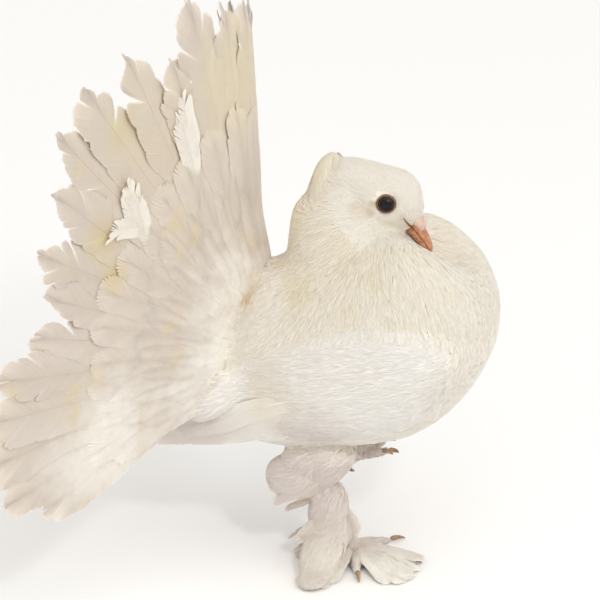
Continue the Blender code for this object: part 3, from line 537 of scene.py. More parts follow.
def leg_forms():
    forms = [
        limb_form(THIGH_RIGHT, THIGH_RIGHT_RADII, LEFT),
        limb_form(SHANK_RIGHT, SHANK_RIGHT_RADII, LEFT),
        limb_form(THIGH_LEFT, THIGH_LEFT_RADII, LEFT),
        limb_form(SHANK_LEFT, SHANK_LEFT_RADII, LEFT),
        limb_form(((-5, -6, 14), (-1.5, -3, 7), PALM_RIGHT), (3.2, 4.8, 3.4), LEFT),
        limb_form(((-2, 12.5, 47), PALM_LEFT, (5, 12.5, 48)), (2.8, 3.4, 2.6), UP),
    ]
    forms += [limb_form(*standing_toe(heading, length), UP, 12, 14) for _, heading, length in TOES]
    forms += [limb_form(path, (2.2, 1.9, 1.6), UP, 12, 12) for _, path, _ in TUCKED]
    forms += [mound_form(*mound) for mound in MOUNDS]
    return forms


print("legs:", len(TOES) + len(TUCKED), "toes and", len(MOUNDS), "mounds")

# %% [markdown]
# The folded wing stands out a little from the flank, because arm and hand lie under its feathers. It
# follows the same surface as the flight feathers will. The crest's bed is a small hood behind the
# crown, and a patch of down fills the flank behind each wing.

# %% Forms of wings, crest and flanks
# Edge of the wing's firm part in side view: X, lower Z, upper Z
WING_PLATE = (
    (59, 112, 131),
    (50, 98, 136),
    (38, 85, 139.5),
    (18, 75, 139),
    (-4, 70, 133),
    (-22, 70, 125),
    (-36, 72, 116),
    (-50, 73, 103),
    (-62, 74, 90),
)
WING_BACK, WING_LONG = -61, 119


def wing_form(side):
    """Arm and hand of a folded wing, which stand out a little from the flank."""

    def place(share, turn):
        x = WING_BACK + WING_LONG * (0.5 - 0.5 * math.cos(math.pi * share))
        low, high = eased(WING_PLATE, x, 1) + 1.5, eased(WING_PLATE, x, 2) - 1.5
        z = (low + high) / 2 + (high - low) / 2 * math.cos(turn) * math.sin(math.pi * share) ** 0.25
        bulge = 1.2 + 2.2 * smooth_step(-60, -10, x)
        thick = -1.0 + bulge * math.sin(turn) * math.sin(math.pi * share) ** 0.4
        return wing_point(side, np.array(x), np.array(z), np.array(thick))

    return round_form(place, 40, 40)


# The hood of the crest: height, back line, front line, half width
CREST_BED = (
    (176, -27, -6, 13),
    (187.7, -22.3, -4, 11),
    (194.7, -19.8, -5, 8.5),
    (202, -17, -6.5, 5),
    (206.2, -12.6, -9.2, 1.2),
)
CREST_LOW, CREST_TALL = 176, 30.2


def crest_bed_form():
    """The bed of down that holds the crest up behind the crown."""

    def place(share, turn):
        up = 0.5 - 0.5 * math.cos(math.pi * share)
        z = CREST_LOW + CREST_TALL * up
        back, front, wide = (eased(CREST_BED, z, column) for column in (1, 2, 3))
        ends = math.sin(math.pi * share) ** 0.4
        x = (back + front) / 2 + (front - back) / 2 * math.cos(turn) * ends
        return x, wide * math.sin(turn) * ends, z

    return round_form(place, 28, 24)


def flank_fill(side):
    """Down that closes the gap between the folded wing and the root of the fan."""
    return mound_form((-58, side * 41, 94), (-0.75, side * 0.3, -0.6), LEFT, 16, 9, 7)


skin_forms += [crest_bed_form(), wing_form(-1), wing_form(1), flank_fill(-1), flank_fill(1)]
skin_forms += leg_forms()
print("skin:", len(skin_forms), "closed forms in all")

# %% [markdown]
# The forms overlap and are still separate. A Remesh modifier in voxel mode keeps only their outer
# surface, as one closed mesh, and a Smooth modifier takes the small steps off. A boolean union would
# keep hard creases, and a bird has none. Two seams still show, at the fan and along the wing, so those
# places are smoothed again through a vertex group.

# %% Wrap the forms in one skin
def object_from(name, shape, material):
    """A new object from a bmesh, shaded smooth."""
    mesh = bpy.data.meshes.new(name)
    shape.to_mesh(mesh)
    shape.free()
    mesh.materials.append(material)
    mesh.shade_smooth()
    thing = bpy.data.objects.new(name, mesh)
    bpy.context.collection.objects.link(thing)
    return thing


def settle_modifiers(thing, name):
    """Makes the mesh that the modifiers give the thing's own mesh."""
    graph = bpy.context.evaluated_depsgraph_get()
    mesh = bpy.data.meshes.new_from_object(thing.evaluated_get(graph))
    thing.modifiers.clear()
    thing.data = mesh
    mesh.name = name
    mesh.shade_smooth()


def wrapped(name, forms, voxel_mm, material):
    """Joins closed forms into one surface, and smooths it."""
    gathered = bmesh.new()
    for form in forms:
        part = bpy.data.meshes.new("part")
        form.to_mesh(part)
        form.free()
        gathered.from_mesh(part)
        bpy.data.meshes.remove(part)
    thing = object_from(name, gathered, material)
    remesh = thing.modifiers.new("wrap", "REMESH")
    remesh.mode = "VOXEL"
    remesh.voxel_size = voxel_mm * MM
    relax = thing.modifiers.new("relax", "SMOOTH")
    relax.factor = 0.5
    relax.iterations = 6
    settle_modifiers(thing, name)
    return thing


SKIN_VOXEL = 1.25
SEAM_PASSES = 140
skin = wrapped("skin", skin_forms, SKIN_VOXEL, BODY_PLUMAGE)


def over_fan(points):
    """Distance of each point in front of the middle of the fan, and its distance from the apex."""
    x, y, z = (points - FAN_APEX).T
    round_apex = np.maximum(np.hypot(y, z), 1e-6)
    return x + fan_swept(y / round_apex) * round_apex, np.sqrt(x**2 + y**2 + z**2)


def mesh_points(mesh):
    points = np.empty(len(mesh.vertices) * 3, np.float32)
    mesh.vertices.foreach_get("co", points)
    return points.reshape(-1, 3) / MM


def above_wing(points):
    """Height of each point over the upper edge of the folded wing."""
    return points[:, 2] - eased(WING_PLATE, points[:, 0], 2)


def soften_seams():
    """Smooths the skin strongly where the back meets the fan and along the wing's upper edge."""
    points = mesh_points(skin.data)
    ahead, away = over_fan(points)
    crease = smooth_step(-3, 3, ahead) * smooth_step(42, 28, ahead) * smooth_step(72, 60, away)
    crease = crease * smooth_step(88, 100, points[:, 2])
    edge = smooth_step(14, 5, np.abs(above_wing(points))) * smooth_step(18, 26, np.abs(points[:, 1])) * 0.4
    seams = np.maximum(crease, edge * smooth_step(-62, -50, points[:, 0]))
    group = skin.vertex_groups.new(name="seams")
    for step in range(1, 11):
        inside = np.nonzero(np.ceil(seams * 10) == step)[0]
        group.add(inside.tolist(), step / 10, "REPLACE")
    soften = skin.modifiers.new("soften", "SMOOTH")
    soften.factor = 0.5
    soften.iterations = SEAM_PASSES
    soften.vertex_group = "seams"
    settle_modifiers(skin, "skin")
    skin.vertex_groups.clear()


soften_seams()
print("skin:", len(skin.data.polygons), "faces")

# %% [markdown]
# The eye of a pigeon sits in a shallow dish of the skull, and the cheek stands out a little behind it.
# The skin's points near each eye are pressed inwards by a soft round dent. Then the skin is unwrapped,
# because each feather is later given the place of its root on that map.

# %% Eye hollows and the skin's map
EYE_ALONG, EYE_RISE, EYE_SIDE, EYE_RADIUS = 4.3, 0.5, 9, 5.2


def eye_middle(side):
    return HEAD_MIDDLE + HEAD_FORWARD * EYE_ALONG + HEAD_OVER * EYE_RISE + np.array((0, side * EYE_SIDE, 0))


skin_points = mesh_points(skin.data)
for side in (-1, 1):
    centre = eye_middle(side) + np.array((0, side * 4, 0))
    distance = np.linalg.norm((skin_points - centre)[:, (0, 2)], axis=1)
    near = (skin_points[:, 1] * side > 0) & (np.abs(skin_points[:, 1] - centre[1]) < 8)
    dent = 1.1 * np.exp(-((distance / 5.5) ** 4)) - 0.35 * np.exp(-(((distance - 8.5) / 2.5) ** 2))
    skin_points[:, 1] -= side * dent * near
skin.data.vertices.foreach_set("co", (skin_points * MM).ravel())
skin.data.update()

bpy.context.view_layer.objects.active = skin
skin.select_set(True)
skin.data.uv_layers.new(name="OFBake")
bpy.ops.object.mode_set(mode="EDIT")
bpy.ops.mesh.select_all(action="SELECT")
bpy.ops.uv.smart_project(angle_limit=math.radians(66), island_margin=0.002)
bpy.ops.object.mode_set(mode="OBJECT")
skin.select_set(False)
# The skin shows only between the feathers, so its tone is set part of the way into the painted root shade.
tone = skin.data.attributes.new("tone", "FLOAT", "POINT")
tone.data.foreach_set("value", np.full(len(skin.data.vertices), 0.6, np.float32))

face_count = len(skin.data.polygons)
corners = np.empty(face_count * 4, np.int32)
skin.data.polygons.foreach_get("vertices", corners)
corners = corners.reshape(-1, 4)
face_points = skin_points[corners]
face_areas = np.empty(face_count, np.float32)
skin.data.polygons.foreach_get("area", face_areas)
face_areas = face_areas / MM**2
corner_map = np.empty(face_count * 8, np.float32)
skin.data.uv_layers["OFBake"].data.foreach_get("uv", corner_map)
face_map = corner_map.reshape(-1, 4, 2).mean(1)
skin_tree = BVHTree.FromPolygons(skin_points.tolist(), corners.tolist())


def onto_skin(points):
    """The nearest skin point, its outward direction and its face, for each point."""
    found = [skin_tree.find_nearest(point) for point in points.tolist()]
    places = np.array([tuple(f[0]) for f in found])
    outward = np.array([tuple(f[1]) for f in found])
    return places, outward, np.array([f[2] for f in found])


print("skin area in square cm:", round(float(face_areas.sum()) / 100))

# %% [markdown]
# Every feather in this bird is made of strands: thin closed blades with a flat underside and a low
# ridge, which taper to a point. A small body feather is one broad strand. A tail feather is a shaft
# with hundreds of narrow strands, its barbs. Thousands of strands are joined into one mesh straight
# from arrays. Each strand keeps a small patch on the map, at the place of its root, so that its
# colour can be baked.

# %% Joining strands into a mesh
PATCH = 0.003


def strand_faces(stations):
    """Triangles of one strand: rings of three points, and a tip."""
    faces = [(0, 1, 2)]
    for ring in range(0, 3 * (stations - 1), 3):
        for j in range(3):
            k = (j + 1) % 3
            faces += [(ring + j, ring + 3 + j, ring + 3 + k), (ring + j, ring + 3 + k, ring + k)]
    last = 3 * (stations - 1)
    faces += [(last + j, last + 3, last + (j + 1) % 3) for j in range(3)]
    return np.array(faces)


def strand_batch(left, right, ridge, tip, root_map, shade):
    """Points, faces, map and tone of many strands with the same number of stations."""
    count, stations = left.shape[:2]
    first = ridge[:, 0] * 2 - left[:, 0] - right[:, 0]
    growth = left[:, 1] + right[:, 1] - left[:, 0] - right[:, 0]
    flipped = (np.cross(growth, first) * (right[:, 0] - left[:, 0])).sum(-1) < 0
    left, right = (np.where(flipped[:, None, None], b, a) for a, b in ((left, right), (right, left)))
    rings = np.stack((left, right, ridge), 2).reshape(count, stations * 3, 3)
    points = np.concatenate((rings, tip[:, None]), 1)
    faces = strand_faces(stations)[None] + (np.arange(count) * (3 * stations + 1))[:, None, None]
    along = np.append(np.repeat(np.arange(stations) / stations, 3), 1.0)
    across = np.append(np.tile((-0.5, 0.5, 0.0), stations), 0.0)
    patch = np.stack((across, along - 0.5), -1) * PATCH
    chart = root_map[:, None] + patch[None]
    # The tone falls towards the root: painted shade where the feathers overlap.
    tone = np.clip(shade[:, None] * (0.5 + 0.5 * along[None] ** 0.6), 0, 1)
    return points.reshape(-1, 3), faces.reshape(-1, 3), chart.reshape(-1, 2), tone.ravel()


def strands_object(name, batches, material, nodes=()):
    """One piece from batches of strands, riding on the bird and standing for its solids."""
    starts = np.cumsum([0] + [len(batch[0]) for batch in batches])
    numbered = [(batch[0], batch[1] + start, batch[2], batch[3]) for batch, start in zip(batches, starts)]
    points, faces, chart, tone = (np.concatenate(part) for part in zip(*numbered))
    spots = chart[faces.ravel()].astype(np.float32)
    mesh = bpy.data.meshes.new(name)
    mesh.vertices.add(len(points))
    mesh.vertices.foreach_set("co", (points * MM).astype(np.float32).ravel())
    mesh.loops.add(len(faces) * 3)
    mesh.loops.foreach_set("vertex_index", faces.astype(np.int32).ravel())
    mesh.polygons.add(len(faces))
    mesh.polygons.foreach_set("loop_start", np.arange(0, len(faces) * 3, 3, dtype=np.int32))
    mesh.uv_layers.new(name="OFBake").data.foreach_set("uv", spots.ravel())
    mesh.attributes.new("tone", "FLOAT", "POINT").data.foreach_set("value", tone.astype(np.float32))
    mesh.update(calc_edges=True)
    mesh.shade_smooth()
    mesh.set_sharp_from_angle(angle=math.radians(60))
    mesh.materials.append(material)
    thing = bpy.data.objects.new(name, mesh)
    bpy.context.collection.objects.link(thing)
    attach(thing, "root")
    if nodes:
        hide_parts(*nodes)
    print(name, len(faces), "triangles")


# %% [markdown]
# The small feathers of the body lie from head to tail. On the head they run back from the bill. From
# the cheek they spread over the neck in every direction, which gives the ruffled look of a fantail with
# its head thrown back, and lower down they turn towards the tail. One rule gives that direction for any
# point of the skin, and every small feather follows it along the surface.

# %% Lie of the small feathers
BILL_ROOT = np.array((27.8, 0, 174.2))
BILL_DIP = math.radians(51.5)
BILL_FORWARD = np.array((math.cos(BILL_DIP), 0, -math.sin(BILL_DIP)))
BILL_OVER = np.array((math.sin(BILL_DIP), 0, math.cos(BILL_DIP)))
CHEEK = np.array((15.0, 12.0, 181.0))
BACKWARD = unit(np.array((-1.0, 0, -0.1)))
CREST_PEAK = np.array((-9.5, 0.0, 207.2))


def on_wing(points):
    """How much each point belongs to the folded wing, from 0 to 1."""
    x, z = points[:, 0], points[:, 2]
    low, high = eased(WING_PLATE, x, 1), eased(WING_PLATE, x, 2)
    inside = smooth_step(-2, 3, z - low) * smooth_step(-2, 3, high - z) * smooth_step(60, 54, x)
    return inside * smooth_step(20, 26, np.abs(points[:, 1]))


def lie_at(points):
    """Direction in which a small feather at each point grows."""
    side = np.sign(points[:, 1:2] + 1e-6)
    spread = smooth_step(0, 30, np.abs(points[:, 1:2]))
    cheek = CHEEK * np.concatenate((np.ones_like(side), side * spread, np.ones_like(side)), 1)
    from_cheek = points - cheek
    from_bill = unit(points - BILL_ROOT)
    near_bill = 1 - smooth_step(14, 30, np.linalg.norm(points - BILL_ROOT, axis=1, keepdims=True))
    on_crown = smooth_step(186, 196, points[:, 2:3]) * smooth_step(-9, -3, points[:, :1])
    face = np.maximum(near_bill, on_crown)
    on_crest = smooth_step(-10, -14, points[:, :1]) * smooth_step(176, 186, points[:, 2:3])
    to_peak = unit(CREST_PEAK + np.array((0.5, 0, 0.5)) - points)
    towards_tail = smooth_step(55, 105, np.linalg.norm(from_cheek, axis=1, keepdims=True))
    ahead, away = over_fan(points)
    on_fan = (smooth_step(22, 9, np.abs(ahead)) * smooth_step(12, 26, away))[:, None]
    up_fan = fan_direction(np.degrees(np.arctan2(-points[:, 1], points[:, 2] - FAN_APEX[2])))
    on_leg = smooth_step(66, 58, points[:, 2:3])
    direction = unit(from_cheek) * (1 - towards_tail) + BACKWARD * towards_tail
    direction = direction * (1 - face) + from_bill * face
    direction = direction * (1 - on_fan) + up_fan * on_fan
    direction = direction * (1 - on_crest) + to_peak * on_crest
    folded = on_wing(points)[:, None]
    direction = direction * (1 - folded) + np.array((-1, 0, -0.2)) * folded
    on_foot = smooth_step(12, 7, points[:, 2:3]) + smooth_step(-6, 0, points[:, :1]) * (points[:, 1:2] > 3)
    along_toe = unit((points - np.where(points[:, 1:2] > 3, PALM_LEFT, PALM_RIGHT)) * (1, 1, 0.2))
    on_hock = smooth_step(-12, -22, points[:, :1]) * smooth_step(28, 36, points[:, 2:3])
    down = np.array((-0.5, -0.4, -1.0)) * (1 - on_hock) + np.array((-1.0, 0, -0.5)) * on_hock
    down = down * (1 - on_foot) + along_toe * on_foot
    return direction * (1 - on_leg) + down * on_leg


print("lie of the feathers on the crown:", lie_at(CREST_PEAK[None] + (6, 0, -4))[0].round(2))

# %% [markdown]
# A small feather is one strand that walks over the skin. From its root it takes a few steps in the
# direction of the lie, and after each step it is put back on the skin, a little higher than before, so
# it follows every curve and never sinks in. Roots are picked at random, and then only one is kept in
# each small cube of space, which spaces them as evenly as real feather tracts.

# %% Growing small feathers
def small_feathers(roots, faces, length, half, rise, rng, stations, ruffle):
    """Strands that follow the skin from their roots. Length, half width and rise are per feather."""
    count = len(roots)
    places, outward, _ = onto_skin(roots)
    heading = lie_at(places) + rng.normal(0, ruffle, (count, 3))
    shares = np.linspace(0, 1, stations + 1)
    spread = np.interp(shares, (0, 0.3, 0.65, 0.85, 1), (0.45, 0.85, 1.0, 0.75, 0))
    lift = np.interp(shares, (0, 0.25, 1), (-0.35, 0.45, 1))
    left, right, ridge = [], [], []
    for i, share in enumerate(shares):
        heading = unit(heading - (heading * outward).sum(1, keepdims=True) * outward)
        across = np.cross(heading, outward)
        centre = places + outward * (rise * lift[i])[:, None]
        if i == stations:
            tip = centre
            break
        reach = across * (half * spread[i])[:, None]
        sag = outward * (half * spread[i] * 0.18)[:, None]
        left.append(centre - reach - sag)
        right.append(centre + reach - sag)
        ridge.append(centre + outward * (0.08 + 0.1 * half)[:, None])
        step = (shares[i + 1] - share) * length
        places, outward, _ = onto_skin(places + heading * step[:, None])
    left, right, ridge = (np.stack(part, 1) for part in (left, right, ridge))
    for part, lowest in ((left, 0.15), (right, 0.15), (ridge, 0.3), (tip, 0.2)):
        part[..., 2] = np.maximum(part[..., 2], lowest)
    shade = np.clip(rng.normal(0.9, 0.1, count), 0.3, 1)
    return strand_batch(left, right, ridge, tip, face_map[faces], shade)


TRIES = 6


def scattered(region, spacing, rng):
    """Roots spread evenly over a region of the skin, and the face under each."""
    faces = np.nonzero(region(face_points.mean(1)))[0]
    weights = face_areas[faces] / face_areas[faces].sum()
    count = int(face_areas[faces].sum() / spacing**2 * TRIES)
    picked = rng.choice(faces, count, p=weights)
    a, b = rng.random((2, count, 1))
    quad = face_points[picked]
    roots = (quad[:, 0] * (1 - a) + quad[:, 1] * a) * (1 - b) + (quad[:, 3] * (1 - a) + quad[:, 2] * a) * b
    cells = np.floor(roots / spacing).astype(int)
    _, keep = np.unique(cells, axis=0, return_index=True)
    return roots[keep], picked[keep]


print("small feathers: up to", TRIES, "tries for each place")

# %% [markdown]
# The coat changes over the body. The face has the shortest and finest feathers, flat as velvet. The neck
# has narrow hackles. Breast, belly and back have broader, softer ones, and those of the legs are narrow
# and untidy. Roots are left out where the bare parts are.

# %% Regions of the coat
HEAD_FRONT = np.array((17.0, 0, 187.0))
FACE_REACH = 27
LEG_TOP = 62
BARE_EYE, BARE_BILL = 5.6, 4.9


def clear_of_bare_parts(points):
    """False at the eyes and the bill, and under the foot."""
    allowed = np.ones(len(points), bool)
    for side in (-1, 1):
        off_lid = points - eye_middle(side) - np.array((0, side * 3.5, 0))
        allowed &= np.linalg.norm(off_lid, axis=1) > BARE_EYE
    along_bill = (points - BILL_ROOT) @ BILL_FORWARD
    off_bill = np.linalg.norm(points - BILL_ROOT - along_bill[:, None] * BILL_FORWARD, axis=1)
    allowed &= ~((along_bill > -0.5) & (along_bill < 18) & (off_bill < BARE_BILL))
    return allowed & (points[:, 2] > 2.4)


def face_distance(points):
    return np.linalg.norm(points - HEAD_FRONT, axis=1)


def on_face(points):
    return clear_of_bare_parts(points) & (face_distance(points) < FACE_REACH) & (points[:, 2] > 160)


def on_neck(points):
    cape = (above_wing(points) > 3) & (points[:, 0] > -34 + 0.45 * (175 - points[:, 2]))
    return clear_of_bare_parts(points) & cape & ~on_face(points)


def on_rump(points):
    """The back of the body and both faces of the tail's root."""
    ahead, away = over_fan(points)
    return (ahead < 18) & (points[:, 2] > 84) & (away < 62) & ~on_neck(points) & (on_wing(points) < 0.5)


def on_body(points):
    rest = ~on_face(points) & ~on_neck(points) & ~on_rump(points) & (on_wing(points) < 0.5)
    rest &= over_fan(points)[1] < 120
    return rest & clear_of_bare_parts(points) & (points[:, 2] > LEG_TOP) & (face_distance(points) > 30)


def on_shield(points):
    return on_wing(points) >= 0.5


def on_leg(points):
    return clear_of_bare_parts(points) & (points[:, 2] <= LEG_TOP)


for region in (on_face, on_neck, on_rump, on_body, on_shield, on_leg):
    print(region.__name__, "covers", int(region(face_points.mean(1)).sum()), "faces of the skin")

# %% [markdown]
# Now the coat is laid, region by region. Each row of the table gives a spacing, a length, a half width
# and a height over the skin. A measure is a number, or a rule that works it out for each place. Most
# rules grow away from the bill, so the face stays as short as velvet. All random choices come from one
# generator with a fixed seed, so the bird comes out the same each time.

# %% Lay the small feathers
rng = np.random.default_rng(SEED)


def coat_piece(name, region, spacing, length, half, rise, material, ruffle, stations=4):
    """Small feathers over one region. Length, half width and rise are numbers or rules."""
    roots, faces = scattered(region, spacing, rng)
    vary = rng.uniform(0.8, 1.2, len(roots))
    length, half, rise = (m(roots) if callable(m) else np.full(len(roots), m) for m in (length, half, rise))
    rise = rise * rng.uniform(0.75, 1.15, len(roots))
    batch = small_feathers(roots, faces, length * vary, half * vary, rise, rng, stations, ruffle)
    strands_object(name, [batch], material)


def by_face(near, far):
    """A measure that grows from near the bill to far from it."""
    return lambda points: near + (far - near) * smooth_step(12, 44, face_distance(points))


def hackle_length(points):
    """Hackles are shortest at the face, at the peak of the crest and where they end over the wing."""
    over_wing = 4.5 + 0.8 * np.maximum(0, above_wing(points))
    below_peak = 2.0 + 0.6 * np.linalg.norm(points - CREST_PEAK, axis=1)
    return np.minimum(by_face(4, 11)(points), np.minimum(over_wing, below_peak))


def leg_length(points):
    """Longest on the boot of the shank, shorter on the thigh and the foot."""
    high = points[:, 2]
    return 8 + 4 * smooth_step(5, 10, high) * smooth_step(46, 34, high)


# Name, region, spacing, length, half width, rise, plumage, ruffle, steps
COAT = (
    ("face_feathers", on_face, 0.85, by_face(2.4, 9), by_face(0.36, 0.6), by_face(0.24, 0.9),
     BODY_PLUMAGE, 0.06, 3),
    ("hackle_feathers", on_neck, 1.32, hackle_length, by_face(0.42, 0.72), by_face(0.32, 0.8),
     HACKLE_PLUMAGE, 0.08),
    ("body_feathers", on_body, 1.75, 11.0, 1.1, 0.75, BODY_PLUMAGE, 0.04),
    ("rump_feathers", on_rump, 1.85, 14.0, 1.5, 0.7, TAIL_PLUMAGE, 0.04),
    ("shield_feathers", on_shield, 1.65, 11.0, 1.05, 0.6, WING_PLUMAGE, 0.03),
    ("leg_feathers", on_leg, 1.2, leg_length, 0.75, 0.85, MUFF_PLUMAGE, 0.12),
)
for row in COAT:
    coat_piece(*row)

# %% [markdown]
# A large feather has a tapering shaft with a vane on each side. The vane is made of barbs that leave the
# shaft at a slant and bend towards the tip. Neighbouring barbs hook together into groups, and where the
# hooks let go the vane splits. So the barbs are drawn in groups that share a length, a slant and a lift,
# and each group gathers towards its own point. Firm wing feathers barely split. The tail of this breed
# is soft and frayed.

# %% Barbs and shafts
BARB_SHARES = np.array((0.0, 0.3, 0.62, 0.9, 1.0))


def groups_of(count, size, rng):
    """The group that each barb in a row belongs to."""
    cuts = np.cumsum(rng.integers(max(2, size // 2), size * 2, count))
    return np.searchsorted(cuts, np.arange(count), side="right")


def vane_strands(place, map_of, length, half_of, rng, pitch=1.0, lean=(48, 24), fray=0.3, start=0.0,
                 camber=1.0, group=8, firm=1.5, shade=0.9, bow=0.0, ruffle=0.0):
    """Barbs on both sides of a shaft. place turns distances along and across, and a height, into
    points. half_of gives the vane's half width at a share of the shaft, for a side."""
    batches = []
    for side in (-1, 1):
        count = max(4, int(length * (1 - start) / pitch))
        root = start + (1 - start) * (np.arange(count) + 0.5) / count
        member = groups_of(count, group, rng)
        total = member.max() + 1
        loose = 0.06 + fray * smooth_step(0.5, 1.0, root)
        within = np.array([np.mean(np.nonzero(member == m)[0]) for m in range(total)])[member]
        within = (np.arange(count) - within) / np.bincount(member)[member] * 2
        stretch = (1 + rng.normal(0, 0.13, total)[member] * loose) * (1 - 0.2 * loose * within**2)
        stretch = stretch * (1 + rng.normal(0, 0.015, count))
        tilt = rng.normal(0, 5, total)[member] * loose
        lift = rng.normal(0, 0.6, total)[member] * loose + rng.normal(0, 0.03, count)
        gather = np.clip(rng.normal(0.25, 0.15, total), 0, 0.6)[member] * loose
        waves = rng.uniform(0, 6, 2)
        fold = np.sin(root * length / 7 + waves[0]) + 0.7 * np.sin(root * length / 3.7 + waves[1])
        lift = lift + ruffle * fold * smooth_step(0.4, 1.0, root)
        slant = np.radians(lean[0] + (lean[1] - lean[0]) * np.maximum(root, 0) ** 1.5 + tilt)
        barb = np.maximum(half_of(root, side) * stretch, 0.8) / np.sin(np.clip(slant, 0.3, 1.4))
        slant = slant * (1 - 0.85 * smooth_step(0.86, 1.0, root))
        reach, advance = barb * np.sin(slant), barb * np.cos(slant)
        q = BARB_SHARES[None]
        along = (root * length)[:, None] + advance[:, None] * (0.8 * q + 0.2 * q**2)
        centre = np.array([along[member == m].mean(0) for m in range(total)])[member]
        along = along + (centre - along) * gather[:, None] * q**2
        across = side * reach[:, None] * (q - 0.08 * q**2) + bow * (along / length) ** 2
        height = -camber * q**2 + lift[:, None] * q**2.5
        d_along, d_across = np.gradient(along, axis=1), np.gradient(across, axis=1)
        size = np.hypot(d_along, d_across)
        width = pitch * (1 - start) * np.sin(np.clip(slant, 0.9, 1.4))[:, None] * firm / 2
        width = np.maximum(width, 0.22) * np.interp(BARB_SHARES, (0, 0.6, 1), (1, 1, 0.85))[None]
        off_along, off_across = -d_across / size * width, d_along / size * width
        body = slice(0, len(BARB_SHARES) - 1)
        left = place(along - off_along, across - off_across, height - 0.05)[:, body]
        right = place(along + off_along, across + off_across, height - 0.05)[:, body]
        ridge = place(along, across, height + 0.12 + 0.15 * width)
        tones = np.clip(shade + rng.normal(0, 0.05, total)[member] + rng.normal(0, 0.05, count), 0.2, 1)
        chart = map_of(root * length, side)
        batches.append(strand_batch(left, right, ridge[:, body], ridge[:, -1], chart, tones))
    return batches


def shaft_strand(place, map_of, length, radius, shade=0.8, bow=0.0, back=4.0, pieces=4):
    """The shaft, a few strands end to end so that it follows the curve of the feather."""
    stations = 6
    batches = []
    shares = np.linspace(0, 1, pieces * stations + 1)
    for piece in range(pieces):
        share = shares[piece * stations : (piece + 1) * stations + 1][None]
        along = -back + (length + back) * share
        across = bow * (along / length) ** 2
        thick = radius * (1 - 0.8 * share)
        left = place(along, across - thick, along * 0)
        right = place(along, across + thick, along * 0)
        ridge = place(along, across, thick * 1.1 + 0.1)
        chart = map_of(along[:, 0], 1)
        rings = (line[:, :-1] for line in (left, right, ridge))
        batches.append(strand_batch(*rings, ridge[:, -1], chart, np.array([shade])))
    return batches


def outlined(half, outline):
    """The rule for a vane's half width, from an outline of shares and sizes."""
    return lambda share, side: half * np.interp(share, *outline)


print("barbs: each bends at", len(BARB_SHARES) - 1, "places")

# %% [markdown]
# The tail of a fantail has about thirty feathers instead of twelve, raised in a wheel over the back. The
# vanes are broad, and each lies over its outer neighbour. Towards the tips they lose their hooks, so
# the ends are ragged, curled and silky. Each feather has its own reach, and its tip is drawn somewhere
# between blunt and sharp.

# %% Tail feathers
def fan_map(angle, column):
    """Place of a strand's root on an unwrap of the fan: angle across and reach up."""
    u = 0.05 + 0.9 * (np.asarray(angle, float) + 120) / 240

    def chart(along, side):
        v = 0.04 + 0.92 * np.clip((along + 30) / 230, 0, 1)
        return np.stack((np.full_like(v, u) + side * 0.004 + column * 0.008, v), -1)

    return chart


def fan_place(angle, root, shingle, outward, lift, twist, wave):
    """The rule that lays one feather on the fan, in millimetres along and across it."""

    def place(along, across, high):
        reach = np.maximum(root + along, 8)
        turn = angle + np.degrees(np.clip(across / reach, -0.6, 0.6))
        far = np.clip(along / 150, 0, 1.2)
        over = shingle * outward * np.clip(across / (reach * math.radians(FAN_STEP)), -1.4, 1.4)
        roll = twist * across * far**2 * 0.12 + wave[0] * far**2 * np.sin(along / wave[1] + wave[2])
        return fan_point(turn, reach, high + lift + over + roll)

    return place


# Reach of each feather of the fan from the middle one outwards
RIM = (172, 176, 187, 168, 188, 193, 191, 176, 168, 156, 158, 174, 179, 178, 171, 152)
BLUNT_TIP = ((0, 0.12, 0.3, 0.75, 0.9, 1), (0.3, 0.75, 0.98, 1.0, 0.8, 0.35))
SHARP_TIP = ((0, 0.12, 0.3, 0.6, 0.75, 0.9, 1), (0.3, 0.75, 0.98, 1.0, 0.8, 0.4, 0.12))


def tail_feather(index, reach, rng):
    """One long feather of the fan: its barbs and its shaft."""
    angle = index * FAN_STEP
    outward = float(np.sign(index))
    base = float(eased(PAD_REACH, abs(angle), 1))
    low_side = smooth_step(70, 90, abs(angle))
    sharp = rng.uniform(0.2, 1) * (1 - 0.6 * low_side) * (0.4 if abs(index) < 4 else 1)
    length = reach - base - 8 + 4 * sharp
    wave = (rng.uniform(0.5, 1.8), rng.uniform(12, 22), rng.uniform(0, 6))
    place = fan_place(angle, base, 0.6, outward, 0.0, rng.uniform(-1, 1), wave)
    half = math.radians(FAN_STEP) * (0.9 + 0.15 * low_side)
    uneven = rng.uniform(0.85, 1.12, 2)

    def half_of(share, side):
        profile = (1 - sharp) * np.interp(share, *BLUNT_TIP) + sharp * np.interp(share, *SHARP_TIP)
        return (base + share * length) * half * profile * uneven[(side + 1) // 2]

    bow = rng.uniform(-3, 3)
    chart = fan_map(angle, 0)
    barbs = vane_strands(place, chart, length, half_of, rng, pitch=0.85, lean=(52, 38),
                         fray=0.7 - 0.3 * low_side, start=-0.02, camber=0.8, group=12, firm=2.0,
                         shade=rng.uniform(0.72, 0.92), bow=bow, ruffle=1.0 - 0.5 * low_side)
    return barbs + shaft_strand(place, chart, length, 0.45, shade=1.0, bow=bow, back=8)


# Share of the near side's reach on the far side, in the upper half of the fan and in the lower one
FAR_HIGH, FAR_LOW, UPPER_COUNT = (0.92, 0.96), (0.96, 1.02), 8
for name, indexes in (("right", range(0, FAN_SIDE_COUNT + 1)), ("left", range(-FAN_SIDE_COUNT, 0))):
    batches = []
    for index in indexes:
        far_side = FAR_HIGH if index > -UPPER_COUNT else FAR_LOW
        reach = RIM[abs(index)] * (1 if index >= 0 else rng.uniform(*far_side))
        batches += tail_feather(index, reach, rng)
    strands_object("tail_feathers_" + name, batches, TAIL_PLUMAGE, ["tail_" + name])

